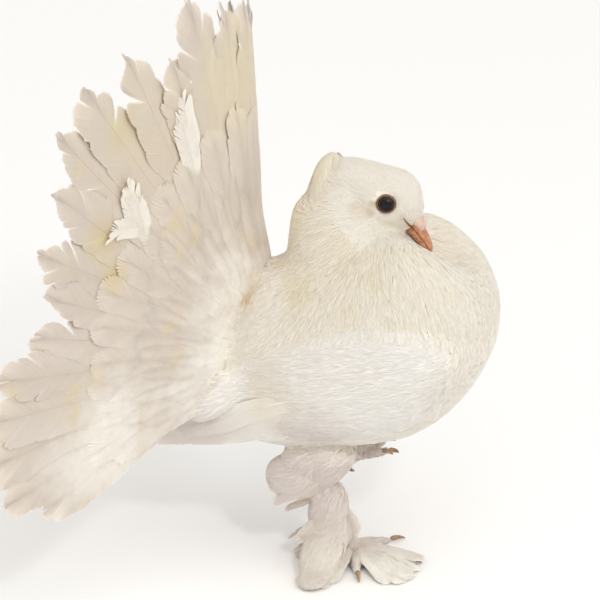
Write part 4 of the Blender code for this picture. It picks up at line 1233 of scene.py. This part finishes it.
# %% [markdown]
# Coverts are the softer, shorter feathers that hide the roots of the fan on both faces. On this bird
# they merge into one silky sheet. They lie in rows like tiles, the innermost row on top, and each row
# ends a little nearer the body than the one below, so that only faint round edges show.

# %% Tail coverts
COVERT_OUTLINE = ((0, 0.3, 0.7, 0.92, 1), (0.6, 0.95, 1.0, 0.8, 0.5))
COVERT_SPREAD = 106


def soft_covert(angle, base, tip, layer, half, column, rng):
    """A broad covert that follows the tail's root. A negative layer puts it on the fan's back."""
    length = tip - base
    outward = float(np.sign(angle))
    front = math.copysign(1, layer)
    wave = (rng.uniform(0.1, 0.4), rng.uniform(10, 20), rng.uniform(0, 6))
    lay = fan_place(angle, base, 0.35, outward, 0.0, 0.0, wave)

    def place(along, across, high):
        rise = np.interp(along / length, (0, 0.3, 1), (0.1, 1, 0.55))
        return lay(along, across, front * (apron_high(base + along) + abs(layer) * rise + high))

    return vane_strands(place, fan_map(angle, column), length * 0.88, outlined(half, COVERT_OUTLINE), rng,
                        pitch=1.1, lean=(46, 34), fray=0.3, camber=0.7, group=8, firm=2.0,
                        shade=rng.uniform(0.85, 1.0), bow=rng.uniform(-2, 2), ruffle=0.1)


# Rows of coverts from the outermost to the innermost: base, tip, layer, half width, number
FRONT_ROWS = (
    (58, 122, 1.3, 10.5, 13),
    (48, 106, 1.8, 10, 12),
    (38, 92, 2.2, 9, 12),
    (32, 79, 2.5, 8, 11),
    (28, 67, 2.8, 7, 10),
)
BACK_ROWS = ((52, 112, -1.5, 10.5, 12), (36, 86, -2.2, 9, 11), (30, 66, -2.6, 8, 9))


def covert_rows(rows, side, rng):
    batches = []
    for column, (base, tip, layer, half, count) in enumerate(rows):
        step = COVERT_SPREAD / count
        for i in range(count):
            angle = -side * (step * (i + 0.5 * (column % 2)) + 1 + rng.uniform(-1.5, 1.5))
            batches += soft_covert(angle, base, tip * rng.uniform(0.93, 1.05), layer, half, 1 + column, rng)
    return batches


for name, side in (("right", -1), ("left", 1)):
    strands_object("tail_front_coverts_" + name, covert_rows(FRONT_ROWS, side, rng), TAIL_PLUMAGE)
    strands_object("tail_back_coverts_" + name, covert_rows(BACK_ROWS, side, rng), TAIL_PLUMAGE)

# %% [markdown]
# Here and there a feather has worked loose and curls up from the fan. It catches the light, so its plumage
# is painted paler than the rest: partly its own white, partly painted light. Each starts at an angle and a
# reach on the fan, leans aside by its own amount, and is drawn barb by barb like a covert, only with more
# fray.

# %% Loose curled feathers
# Angle, reach, lean in degrees, length, half width
LOOSE = (
    (25, 108, -14, 30, 7),
    (22, 118, 6, 30, 7),
    (45, 110, -40, 24, 6),
    (44, 114, -16, 28, 7),
    (42, 112, 14, 24, 6),
    (-30, 114, 16, 30, 7),
    (-45, 116, -12, 28, 7),
)
LOOSE_OUTLINE = ((0, 0.2, 0.6, 0.85, 1), (0.6, 0.95, 1.0, 0.75, 0.35))


def loose_feather(angle, reach, lean, length, half, rng):
    turn = math.radians(lean)
    curl = rng.uniform(0.6, 1.6)

    def place(along, across, high):
        out = reach + along * math.cos(turn) - across * math.sin(turn)
        aside = np.degrees((along * math.sin(turn) + across * math.cos(turn)) / out)
        return fan_point(angle + aside, out, 0.7 + curl * np.clip(along / length, 0, 1.2) ** 2 + high)

    bow = rng.choice((-1, 1)) * rng.uniform(3, 7)
    return vane_strands(place, fan_map(angle, 6), length, outlined(half, LOOSE_OUTLINE), rng, pitch=0.7,
                        lean=(56, 30), fray=1.4, camber=0.5, group=5, firm=1.2, shade=0.95, bow=bow,
                        ruffle=0.4)


loose = []
for row in LOOSE:
    loose += loose_feather(*row, rng)
strands_object("loose_feathers", loose, LOOSE_PLUMAGE)

# %% [markdown]
# The wing is folded against the flank, with its tip tucked below the tail. Its firm inner part is in the
# skin already, and its small coverts are the shield that was laid there, smooth and clean white. What is
# left are the long flight feathers, which reach back from it in one stack. Each is drawn barb by barb,
# with a narrow outer vane and a broad inner one, and rides a little higher than the one before.

# %% Wings
# Side view places of the first and last root and tip
FLIGHT_ROOTS = ((-24, 76), (-12, 101))
FLIGHT_TIPS = ((-136, 57), (-66, 77))
FLIGHT_COUNT, FLIGHT_HALF = 11, 6.4
FLIGHT_OUTLINE = ((0, 0.2, 0.7, 0.93, 1), (0.5, 0.85, 1.0, 0.7, 0.45))
NARROW_VANE, BROAD_VANE = 0.7, 1.15


def wing_place(side, root, tip, heights, sag, shingle, half):
    """The rule that lays one feather on the wing, along the line from root to tip."""
    run = np.array(tip, float) - np.array(root, float)
    length = float(np.hypot(*run))
    ahead = run / length
    over = np.array((ahead[1], -ahead[0]))

    def place(along, across, high):
        share = np.clip(along / length, -0.2, 1.3)
        x = root[0] + ahead[0] * along + over[0] * across
        z = root[1] + ahead[1] * along + over[1] * across - sag * np.sin(math.pi * np.clip(share, 0, 1))
        lift = heights[0] + (heights[1] - heights[0]) * share - shingle * across / half
        return wing_point(side, x, z, lift + high)

    return place, length


def wing_map(side, root):
    """Place of a strand's root on a side view unwrap of the wing."""

    def chart(along, vane):
        u = 0.06 + 0.85 * (root[0] + 140 - 0.6 * along) / 210
        v = 0.06 + 0.85 * (root[1] - 50) / 95 + 0.004 * vane
        return np.stack((np.clip(u, 0.02, 0.98), np.full_like(u, np.clip(v, 0.02, 0.98))), -1)

    return chart


def flight_feather(side, root, tip, heights, rng):
    place, length = wing_place(side, root, tip, heights, -2.0, 0.9, FLIGHT_HALF)
    outline = outlined(FLIGHT_HALF, FLIGHT_OUTLINE)

    def half_of(share, vane):
        return outline(share, vane) * (NARROW_VANE if vane > 0 else BROAD_VANE)

    chart = wing_map(side, root)
    barbs = vane_strands(place, chart, length * 0.9, half_of, rng, pitch=1.2, lean=(44, 26), fray=0.3,
                         camber=0.35, group=9, firm=1.5, shade=0.82)
    return barbs + shaft_strand(place, chart, length * 0.97, 0.7, shade=0.72, back=1, pieces=2)


def between(first, last, count):
    return [np.array(first) + (np.array(last) - np.array(first)) * i / (count - 1) for i in range(count)]


def flight_batches(side, rng):
    batches = []
    pairs = zip(between(*FLIGHT_ROOTS, FLIGHT_COUNT), between(*FLIGHT_TIPS, FLIGHT_COUNT))
    for i, (root, tip) in enumerate(pairs):
        tip = root + (tip - root) * (1 + 0.03 * math.sin(i * 1.7))
        batches += flight_feather(side, root, tip, (0.6 + 0.1 * i, 1.4 + 0.25 * i), rng)
    return batches


for name, side in (("right", -1), ("left", 1)):
    strands_object("flight_feathers_" + name, flight_batches(side, rng), WING_PLUMAGE, ["wing_" + name])

# %% [markdown]
# A fantail's peak crest is a small pointed hood. Feathers of the nape grow upwards and meet in one point
# behind the crown. The skin already has that shape and its small feathers lean towards the point, so
# only the hood's soft front edge is added, where they stand off the crown.

# %% Crest
CREST_COUNT = 360


def path_strands(path, half, chart, shade, stations):
    """Strands along paths. path gives, for a share, every centre and its sideways and upward directions."""
    left, right, ridge = [], [], []
    for share in np.linspace(0, 1, stations + 1):
        centre, across, over = path(share)
        if share == 1:
            break
        width = (half * np.interp(share, (0, 0.3, 0.7, 1), (0.5, 0.9, 1, 0)))[:, None]
        left.append(centre - across * width)
        right.append(centre + across * width)
        ridge.append(centre + over * (0.08 + 0.1 * half)[:, None])
    left, right, ridge = (np.stack(part, 1) for part in (left, right, ridge))
    return strand_batch(left, right, ridge, centre, chart, shade)


def crest_edge(count, rng):
    share = rng.uniform(0.2, 1, count)
    side = np.where(rng.random(count) < 0.5, -1.0, 1.0)
    ahead = -8.5 + 3 * share + rng.uniform(-2, 0, count)
    aim = np.stack((ahead, side * (1 + 9 * share), 205.4 - 9 * share), -1)
    roots, outward, faces = onto_skin(aim)
    run = CREST_PEAK + np.array((0.8, 0, -0.6)) - roots
    far = np.linalg.norm(run, axis=1, keepdims=True)
    tips = roots + run * np.minimum(0.6, rng.uniform(3, 5, (count, 1)) / far) + outward * 0.8
    bend = (roots + tips) / 2 + outward * rng.uniform(0.4, 0.9, (count, 1))

    def path(s):
        centre = roots * (1 - s) ** 2 + bend * 2 * s * (1 - s) + tips * s**2
        ahead = unit((bend - roots) * (1 - s) + (tips - bend) * s)
        across = unit(np.cross(ahead, outward))
        return centre, across, unit(np.cross(across, ahead))

    shade = np.clip(rng.normal(0.95, 0.05, count), 0.3, 1)
    return path_strands(path, rng.uniform(0.35, 0.55, count), face_map[faces], shade, 4)


strands_object("crest_feathers", [crest_edge(CREST_COUNT, rng)], HACKLE_PLUMAGE)

# %% [markdown]
# The legs wear muffs: soft feathers grow from the hock, down the shank and along the toes, and on the
# standing foot they fan out over the floor. The mounds in the skin give their mass. The longest
# feathers stand out of it, about where the solid has its blades, and are listed here one by one.

# %% Where the muff feathers grow
# Root, bend, tip, half width, direction across
HOCK_BLADES = (
    ((-10, -25, 54), (-24, -27, 50), (-37, -23, 43), 6.0, (0.1, 0.15, 1)),
    ((-10, -26, 48), (-22, -27, 42), (-34, -23, 36), 6.0, (0.4, 0.1, 1)),
)
SHANK_BLADES = (
    ((-14, -14, 34), (-23, -14, 30), (-31, -13, 26), 3.0, (0.4, -0.2, 0.9)),
    ((-12, -15, 24), (-21, -16, 17), (-29, -14, 11), 4.0, (0.6, -0.1, 0.8)),
    ((-12, -15, 17), (-19, -16, 10), (-25, -14, 6), 3.8, (0.6, 0, 0.7)),
    ((-12, -18, 26), (-17, -21, 18), (-22, -20, 12), 3.4, (0.9, 0, -0.5)),
    ((-1, -10, 27), (4, -12, 21), (6, -13, 15), 2.6, (0.5, 0.3, 0.6)),
)
# Feathers on top of the toes: heading of the toe, start, end, height, half width
TOE_BLADES = ((40, 2, 17, 5.6, 3.2), (-9, 2, 41, 6.4, 4.4), (162, 2, 14, 4.8, 3.2))
FOOT_BLADES = (
    ((-5, -8), (-16, -11), (-26, -12), 4.4),
    ((-3, -11), (-11, -28), (-16, -43), 4.6),
    ((-2, -11), (-8, -30), (-12, -48), 4.6),
    ((-1, -11), (-5, -30), (-7, -48), 4.6),
    ((1, -11), (-2, -26), (-3, -40), 4.4),
    ((6, -9), (16, -22), (27, -33), 4.6),
    ((7, -9), (19, -20), (33, -32), 4.6),
    ((8, -8), (22, -16), (37, -25), 4.6),
    ((9, -6), (23, -11), (38, -17), 4.4),
)
TUCKED_BLADES = (
    ((-20, 14, 44), (-28, 13, 40), (-35, 12, 37), 4.6, (0.2, 1, 0.2)),
    ((-22, 16, 45), (-28, 20, 41), (-34, 22, 38), 4.4, (0.2, 1, -0.2)),
    ((-14, 13, 46), (-18, 10, 40), (-24, 9, 36), 4.0, (0.4, 1, 0)),
    ((-12, 16, 46), (-15, 22, 40), (-22, 26, 36), 4.2, (0.4, 1, 0)),
)
FEET_BLADES = len(TOE_BLADES) + len(FOOT_BLADES)
print("muffs:", len(HOCK_BLADES) + len(SHANK_BLADES) + FEET_BLADES, "large feathers on the standing leg")

# %% [markdown]
# Each muff feather follows a curve from its root over a bend to its tip, and never goes below the
# floor. It gets a smaller copy, moved about at random, because real ones lie crowded and untidy.

# %% Muffs
def curve_place(root, bend, tip, across_axis):
    """The rule that lays a feather along a curve. Returns it with the curve's length."""
    root, bend, tip = (np.array(p, float) for p in (root, bend, tip))
    axis = unit(np.array(across_axis, float))
    length = float(np.linalg.norm(bend - root) + np.linalg.norm(tip - bend)) * 0.97

    def place(along, across, high):
        s = (along / length)[..., None]
        ahead = unit((bend - root) * (1 - np.clip(s, 0, 1)) + (tip - bend) * np.clip(s, 0, 1))
        clipped = np.clip(s, 0, 1)
        centre = root * (1 - clipped) ** 2 + bend * 2 * clipped * (1 - clipped) + tip * clipped**2
        centre = centre + ahead * (s - clipped) * length
        over = np.cross(ahead, axis)
        over = unit(over * np.where(over[..., 2:] < 0, -1, 1))
        point = centre + axis * across[..., None] + over * high[..., None]
        point[..., 2] = np.maximum(point[..., 2], 0.12 + 0.1 * np.sin(point[..., 0] * 3))
        return point

    return place, length


def root_map(root):
    """Place of a leg feather's strands on the skin's map, at its root."""
    _, _, face = onto_skin(np.array([root], float))
    spot = face_map[face[0]]

    def chart(along, side):
        return np.stack((np.full_like(along, spot[0]), np.full_like(along, spot[1])), -1) + PATCH * side

    return chart


MUFF_OUTLINE = ((0, 0.25, 0.7, 0.9, 1), (0.5, 0.95, 1.0, 0.75, 0.3))
FULLER = 1.2


def muff_feather(root, bend, tip, half, axis, rng):
    place, length = curve_place(root, bend, tip, axis)
    chart = root_map(root)
    barbs = vane_strands(place, chart, length * 0.88, outlined(half * FULLER, MUFF_OUTLINE), rng, pitch=0.7,
                         lean=(50, 36), fray=0.35, camber=1.2, group=8, shade=0.94, firm=2.0)
    return barbs + shaft_strand(place, chart, length * 0.9, 0.3, shade=0.95, back=1, pieces=2)


def muff_batches(blades, spread, rng):
    """The large feathers, and for each a smaller copy moved about at random."""
    batches = []
    for root, bend, tip, half, axis in blades:
        batches += muff_feather(root, bend, tip, half, axis, rng)
        shift = rng.normal(0, spread, 3)
        shrink = rng.uniform(0.6, 0.85)
        near, mid, far = np.array(root, float), np.array(bend, float), np.array(tip, float)
        mid = near + (mid - near) * shrink + shift * 0.6
        far = near + (far - near) * shrink + shift
        near = near + shift * 0.2
        batches += muff_feather(near, mid, far, half * 0.8, axis, rng)
    return batches


def floor_blades():
    """The foot's feathers: some lie flat, and some run along the tops of the toes."""
    rows = []
    for heading, start, end, high, half in TOE_BLADES:
        ahead = np.array((math.cos(math.radians(heading)), math.sin(math.radians(heading)), 0))
        side = (-ahead[1], ahead[0], 0)
        ankle = np.array((0, PALM_RIGHT[1], high))
        middle = ankle + ahead * (start + end) / 2 - np.array((0, 0, 0.6))
        tip = ankle + ahead * end - np.array((0, 0, 2.6))
        rows.append((ankle + ahead * start, middle, tip, half, side))
    for root, bend, tip, half in FOOT_BLADES:
        lean = math.atan2(tip[1] - root[1], tip[0] - root[0]) + math.pi / 2
        rows.append(((*root, 6.6), (*bend, 5.6), (*tip, 1.4), half, (math.cos(lean), math.sin(lean), 0)))
    return rows


strands_object("hock_feathers", muff_batches(HOCK_BLADES, 1.5, rng), MUFF_PLUMAGE)
strands_object("shank_feathers", muff_batches(SHANK_BLADES, 1.5, rng), MUFF_PLUMAGE)
strands_object("foot_feathers", muff_batches(floor_blades(), 1.2, rng), MUFF_PLUMAGE)
strands_object("tucked_leg_feathers", muff_batches(TUCKED_BLADES, 1.6, rng), MUFF_PLUMAGE)

# %% [markdown]
# The bare parts are small but they make the face. The eye is a wet dark ball in a ring of bare granular
# lid. The bill is horn over a soft root, salmon at the tip and powdered with pale dust on the two
# swellings over the nostrils. Claws and toes are pinkish horn and skin.

# %% Bare part materials
def bumpy(tree, shader, place, size_mm, strength, depth_mm):
    """Grain of a real size, raised as bump."""
    grain = add_node(tree, "ShaderNodeTexNoise", Vector=place, Scale=1 / (size_mm * MM), Detail=2.0)
    bump = add_node(tree, "ShaderNodeBump", Height=grain.outputs["Fac"], Strength=strength,
                    Distance=depth_mm * MM)
    tree.links.new(bump.outputs["Normal"], shader.inputs["Normal"])
    return grain.outputs["Fac"]


def skin_like(name, light, dark, grain_mm, roughness, strength):
    """Bare skin or horn: two colours mixed by a grain, which also raises the surface."""
    material, tree, shader = new_material(name, Roughness=roughness, IOR=KERATIN_IOR)
    place = add_node(tree, "ShaderNodeTexCoord").outputs["Object"]
    grain = bumpy(tree, shader, place, grain_mm, strength, grain_mm * 0.3)
    mixed = blend(tree, ramp(tree, grain, 0.35, 0.7), colour(dark), colour(light))
    tree.links.new(mixed, shader.inputs["Base Color"])
    return material


BILL_HORN = skin_like("bill_horn", "CC9474", "AA6E4E", 1.6, 0.42, 0.3)
CERE_SKIN = skin_like("powdered_cere", "DEC8B8", "C6A592", 0.7, 0.8, 0.5)
LID_SKIN = skin_like("granular_eyelid", "8E6A50", "573C2C", 0.5, 0.6, 0.8)
CLAW_HORN = skin_like("claw_horn", "B79A7C", "86694F", 1.2, 0.4, 0.3)
TOE_SKIN = skin_like("scaled_toe_skin", "D79C8C", "B3705F", 0.9, 0.5, 0.7)
# The gape's dark brown is partly skin and partly painted shade of its crease.
GAPE_SKIN_AND_SHADE = skin_like("mouth_line", "74503C", "4E3426", 0.8, 0.6, 0.3)

EYE_WET, eye_tree, eye_shader = new_material("wet_dark_eye", Roughness=0.02, IOR=1.36,
                                              Specular_IOR_Level=0.45)
eye_uv = add_node(eye_tree, "ShaderNodeUVMap", {"uv_map": "iris"}).outputs[0]
eye_height = add_node(eye_tree, "ShaderNodeSeparateXYZ", i0=eye_uv).outputs[1]
iris_rays = add_node(eye_tree, "ShaderNodeTexNoise", Vector=eye_uv, Scale=26.0, Detail=2.0).outputs["Fac"]
iris = blend(eye_tree, iris_rays, colour("1B1310"), colour("33221A"))
eye_colour = blend(eye_tree, ramp(eye_tree, eye_height, 0.16, 0.19), colour("0B0A0B"), iris)
eye_tree.links.new(eye_colour, eye_shader.inputs["Base Color"])
print("materials: bill, cere, lid, claw, toe, mouth and eye")

# %% [markdown]
# A pigeon's eye is a ball of which little shows, with a ring of small bare folds round it. The ball is
# a sphere with its pole turned outwards, so that a map by distance from the pole can colour pupil and
# iris. The lid is a small circle spun once round the eye, and its points are then pushed into folds.

# %% Eyes and lids
LID_RING, LID_THICK, LID_OUT, LID_FLAT = 4.25, 0.62, 3.1, 0.93


def settle(thing, slot, *nodes):
    """The finished piece rides on the bird, and the solid nodes that it stands for are hidden. The slot is
    not used.
    """
    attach(thing, "root")
    if nodes:
        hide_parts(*nodes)
    print(thing.name, len(thing.data.polygons), "faces")


def eye_outward(side):
    return Vector((0.14, side, 0.06)).normalized()


def move_to_eye(shape, side, out):
    """Turns a shape's +Z outwards and moves it to the eye, some millimetres out of its middle."""
    turn = eye_outward(side).to_track_quat("Z", "Y").to_matrix().to_4x4()
    move = Matrix.Translation(Vector(eye_middle(side)) + eye_outward(side) * out)
    bmesh.ops.transform(shape, matrix=Matrix.Scale(MM, 4) @ move @ turn, verts=shape.verts)


def make_eye(name, side):
    """A ball with its pole outwards, and a map by distance from the pole."""
    shape = bmesh.new()
    bmesh.ops.create_uvsphere(shape, u_segments=40, v_segments=28, radius=EYE_RADIUS)
    chart = shape.loops.layers.uv.new("iris")
    for face in shape.faces:
        for loop in face.loops:
            at = loop.vert.co
            away = math.acos(max(-1, min(1, at.z / EYE_RADIUS))) / math.pi
            loop[chart].uv = (math.atan2(at.y, at.x) / math.tau + 0.5, away)
    move_to_eye(shape, side, 0)
    settle(object_from(name + "_ball", shape, EYE_WET), "dark_eye", name)


def make_lid(name, side):
    """A ring of small folds round the eye, slightly oval."""
    shape = bmesh.new()
    bmesh.ops.create_circle(shape, segments=12, radius=LID_THICK)
    bmesh.ops.rotate(shape, matrix=Matrix.Rotation(math.pi / 2, 3, "X"), verts=shape.verts)
    bmesh.ops.translate(shape, vec=(LID_RING, 0, 0), verts=shape.verts)
    bmesh.ops.spin(shape, geom=shape.verts[:] + shape.edges[:], cent=(0, 0, 0), axis=(0, 0, 1),
                   angle=math.tau, steps=72, use_merge=True)
    for vert in shape.verts:
        vert.co.y *= LID_FLAT
        turn = math.atan2(vert.co.y, vert.co.x)
        fold = 1 + 0.05 * math.sin(9 * turn) + 0.035 * math.sin(23 * turn + 1)
        vert.co.z *= 0.75 * fold
        vert.co.xy *= 1 + 0.02 * math.sin(2 * turn) + 0.012 * math.sin(17 * turn)
    bmesh.ops.recalc_face_normals(shape, faces=shape.faces)
    move_to_eye(shape, side, LID_OUT)
    settle(object_from(name, shape, LID_SKIN), "pink_horn")


for side, name in ((-1, "right"), (1, "left")):
    make_eye("eye_" + name, side)
    make_lid("eyelid_" + name, side)

# %% [markdown]
# The bill is short and bends down. Its two halves are closed forms of their own, round outside and flat
# along the mouth line, with a hair's gap between. The cere is a pair of swellings over the nostrils,
# which are wrapped into one soft piece as the skin was.

# %% Bill and cere
# Distance from the root, height of the mouth line, top of the upper half, bottom of the lower, half width
BILL = (
    (-6, 0.3, 3.8, -3.4, 4.7),
    (0, 0.2, 3.9, -3.9, 4.7),
    (5, 0.0, 3.4, -4.1, 4.1),
    (10, -0.1, 2.6, -3.8, 3.2),
    (14, -0.5, 1.3, -3.1, 2.2),
    (16.2, -1.1, -0.1, -2.5, 1.3),
    (17, -1.5, -1.1, -2.2, 0.4),
)
BILL_BACK, BILL_LONG, MOUTH_GAP, CERE_VOXEL = -6, 23, 0.16, 0.3


def bill_point(along, high, side):
    return BILL_ROOT + BILL_FORWARD * along + BILL_OVER * high + np.array((0, side, 0))


def bill_form(upper):
    """Half of the bill, round outside and flat along the mouth line."""

    def place(share, turn):
        along = BILL_BACK + BILL_LONG * (0.5 - 0.5 * math.cos(math.pi * share))
        mouth, top, bottom, wide = (eased(BILL, along, column) for column in (1, 2, 3, 4))
        shut = mouth + (MOUTH_GAP if upper else -MOUTH_GAP)
        far = top if upper else bottom
        round_end = math.sqrt(max(0, 1 - (2 * share - 1) ** 10))
        wide = wide * round_end * (1.0 if upper else 0.9)
        rise = max(0, math.sin(turn)) if upper else max(0, -math.sin(turn))
        high = shut + (far - shut) * rise ** 0.9 * round_end
        return bill_point(along, high, wide * math.cos(turn))

    return round_form(place, 36, 40)


def cere_form(side):
    """One of the two soft swellings over the nostrils."""

    def place(share, turn):
        a = -math.cos(math.pi * share)
        round_off = math.sin(math.pi * share)
        b, c = round_off * math.cos(turn), round_off * math.sin(turn)
        high = 3.2 + 2.0 * c - 0.5 * a * a
        return bill_point(1.0 + 4.7 * a, high, side * (2.8 - 0.6 * a) + 2.6 * b)

    return round_form(place, 28, 22)


settle(object_from("bill_upper_half", bill_form(True), BILL_HORN), "pink_horn", "bill_upper")
settle(object_from("bill_lower_half", bill_form(False), BILL_HORN), "pink_horn", "bill_lower")
cere = wrapped("cere_swellings", [cere_form(-1), cere_form(1)], CERE_VOXEL, CERE_SKIN)
settle(cere, "powdery_cere", "cere")

# %% [markdown]
# The gape runs on behind the horn of the bill as a thin dark crease in the feathers of the face. It is a
# slim dark strip on each side: partly the skin of the mouth's corner, partly painted shade inside the
# crease. Its first points lie on the bill, and the rest are put on the cheek.

# %% Gape
# Distance from the root of the bill, height and side of each point
GAPE_COURSE = ((2.5, 0.1, 4.7), (0.5, 0.3, 5.1), (-1.5, 0.5, 6.2), (-3.8, 0.9, 7.4), (-7, 1.5, 8.4))
GAPE_RADII = (0.45, 0.45, 0.4, 0.3, 0.15)
GAPE_HIGH, GAPE_ON_BILL = 0.7, 2
for side, name in ((-1, "right"), (1, "left")):
    course = np.array([bill_point(a, h, side * s) for a, h, s in GAPE_COURSE])
    places, outward, _ = onto_skin(course)
    points = places + outward * GAPE_HIGH
    points[:GAPE_ON_BILL] = course[:GAPE_ON_BILL]
    gape = limb_form([tuple(p) for p in points], GAPE_RADII, UP, 10, 20)
    settle(object_from("gape_" + name, gape, GAPE_SKIN_AND_SHADE), "pink_horn")

# %% [markdown]
# Claws are short curved horn. On the standing foot each runs on from its toe and bends to the floor, and
# on the tucked foot it hooks round. They are limbs like the toes, with smaller radii and horn's colour.

# %% Claws
CLAW_LONG = 8.5


def standing_claw(heading, length):
    """A claw that runs on from its toe and curves to the floor."""
    turn = math.radians(heading)
    points = []
    for share, high in ((0, 2.2), (0.35, 2.4), (0.7, 1.9), (1, 0.8)):
        reach = length + 0.2 + CLAW_LONG * share
        points.append((reach * math.cos(turn), PALM_RIGHT[1] + reach * math.sin(turn), high))
    return limb_form(points, (1.35, 1.15, 0.8, 0.3), UP, 14, 16)


def tucked_claw(path, tip):
    end, tip = np.array(path[-1], float), np.array(tip, float)
    step = unit(end - np.array(path[-2], float))
    points = (end + step * 0.3, (end + tip) / 2 + step * 1.1, tip)
    return limb_form([tuple(p) for p in points], (1.3, 1.0, 0.3), UP, 14, 16)


for name, heading, length in TOES:
    node = "claw_right_" + name
    settle(object_from("horn_" + node, standing_claw(heading, length), CLAW_HORN), "pink_horn", node)
for name, path, tip in TUCKED:
    node = "claw_left_" + name
    settle(object_from("horn_" + node, tucked_claw(path, tip), CLAW_HORN), "pink_horn", node)

# %% [markdown]
# A feathered foot is bare below. The skin's own faces there get a second material, scaled toe skin, so
# nothing has to be cut. The skin is finished last, and it stands for all the flesh of the solid model.

# %% Toe skin
TOE_LOW, TOE_HALF = 2.6, 3.0


def on_toe_skin(points):
    """True on the undersides and sides of the four toes on the floor."""
    low = points[:, 2] < TOE_LOW
    found = np.zeros(len(points), bool)
    for _, heading, length in TOES:
        turn = math.radians(heading)
        off = points[:, :2] - np.array(PALM_RIGHT[:2])
        along = off[:, 0] * math.cos(turn) + off[:, 1] * math.sin(turn)
        across = off[:, 1] * math.cos(turn) - off[:, 0] * math.sin(turn)
        found |= (along > -2) & (along < length + 2) & (np.abs(across) < TOE_HALF)
    return found & low


skin.data.materials.append(TOE_SKIN)
bare = on_toe_skin(face_points.mean(1))
skin.data.polygons.foreach_set("material_index", bare.astype(np.int32))
settle(skin, "white_feather", "torso", "neck", "head", "thigh_right", "shank_right", "foot_right",
       "thigh_left", "shank_left", "foot_left")

# %% [markdown]
# The bird stands on a plain pale board under soft studio light. A white bird on white shows its form
# only by soft shading, so a bright even surround fills the shadows, a very broad lamp over the breast
# gives the form its light side, and a weaker one lifts the flank. The small round lamp is for the eyes.

# %% Floor and light
FLOOR_HALF = 4
BIRD_MIDDLE = Vector((0, 0, 0.13))
FLOOR_PAINT, floor_tree, floor_shader = new_material("matt_white_paint", Roughness=0.9)
floor_place = add_node(floor_tree, "ShaderNodeTexCoord").outputs["Object"]
floor_grain = add_node(floor_tree, "ShaderNodeTexNoise", Vector=floor_place, Scale=400.0).outputs["Fac"]
floor_mix = blend(floor_tree, floor_grain, colour("FBFBFB"), colour("F8F8F8"))
floor_tree.links.new(floor_mix, floor_shader.inputs["Base Color"])
board = bmesh.new()
bmesh.ops.create_grid(board, x_segments=1, y_segments=1, size=FLOOR_HALF)
floor = object_from("floor_board", board, FLOOR_PAINT)

world = bpy.data.worlds.new("bright_studio")
bpy.context.scene.world = world
world.use_nodes = True
surround = world.node_tree.nodes["Background"]
surround.inputs["Color"].default_value = colour("FFFEFC")
surround.inputs["Strength"].default_value = 0.74


def hang(name, kind, energy, place, tint, **settings):
    """Hangs a lamp that shines at the bird's middle."""
    light = bpy.data.lights.new(name, kind)
    light.energy = energy
    light.color = colour(tint)[:3]
    for key, value in settings.items():
        setattr(light, key, value)
    lamp = bpy.data.objects.new(name, light)
    lamp.location = place
    lamp.rotation_euler = (Vector(place) - BIRD_MIDDLE).to_track_quat("Z", "Y").to_euler()
    bpy.context.collection.objects.link(lamp)


hang("overhead", "SUN", 0.98, (0.75, -0.6, 1.3), "FFFDF8", angle=math.radians(80))
hang("low_fill", "SUN", 0.3, (-0.5, -1.0, 0.25), "FFFDF8", angle=math.radians(90))
hang("sparkle", "AREA", 4, (0.675, -0.923, 1.027), "FFFFFF", shape="DISK", size=0.16)
print("lights:", len(bpy.data.lights))

# %% [markdown]
# The camera looks at the bird's right side, a little from in front and from above. Its three axes are
# worked out from those two angles, and its lens from the width that it should show at that distance.

# %% Camera
VIEW_TURN, VIEW_RISE, VIEW_DISTANCE, VIEW_WIDTH = math.radians(14), math.radians(20), 1.15, 0.3
VIEW_ASIDE, VIEW_HIGH = -0.026, 0.125
view_right = Vector((math.cos(VIEW_TURN), math.sin(VIEW_TURN), 0))
view_back = Vector((
    math.sin(VIEW_TURN) * math.cos(VIEW_RISE),
    -math.cos(VIEW_TURN) * math.cos(VIEW_RISE),
    math.sin(VIEW_RISE),
))
view_up = view_back.cross(view_right)
lens = bpy.data.cameras.new("camera")
lens.lens = lens.sensor_width * VIEW_DISTANCE / VIEW_WIDTH
camera = bpy.data.objects.new("camera", lens)
camera.matrix_world = Matrix((view_right, view_up, view_back)).transposed().to_4x4()
camera.location = view_right * VIEW_ASIDE + view_up * VIEW_HIGH + view_back * VIEW_DISTANCE
bpy.context.collection.objects.link(camera)
bpy.context.scene.camera = camera
bpy.context.scene.view_settings.view_transform = "Standard"
print("camera: a lens of", round(lens.lens), "mm, at", VIEW_DISTANCE, "m")
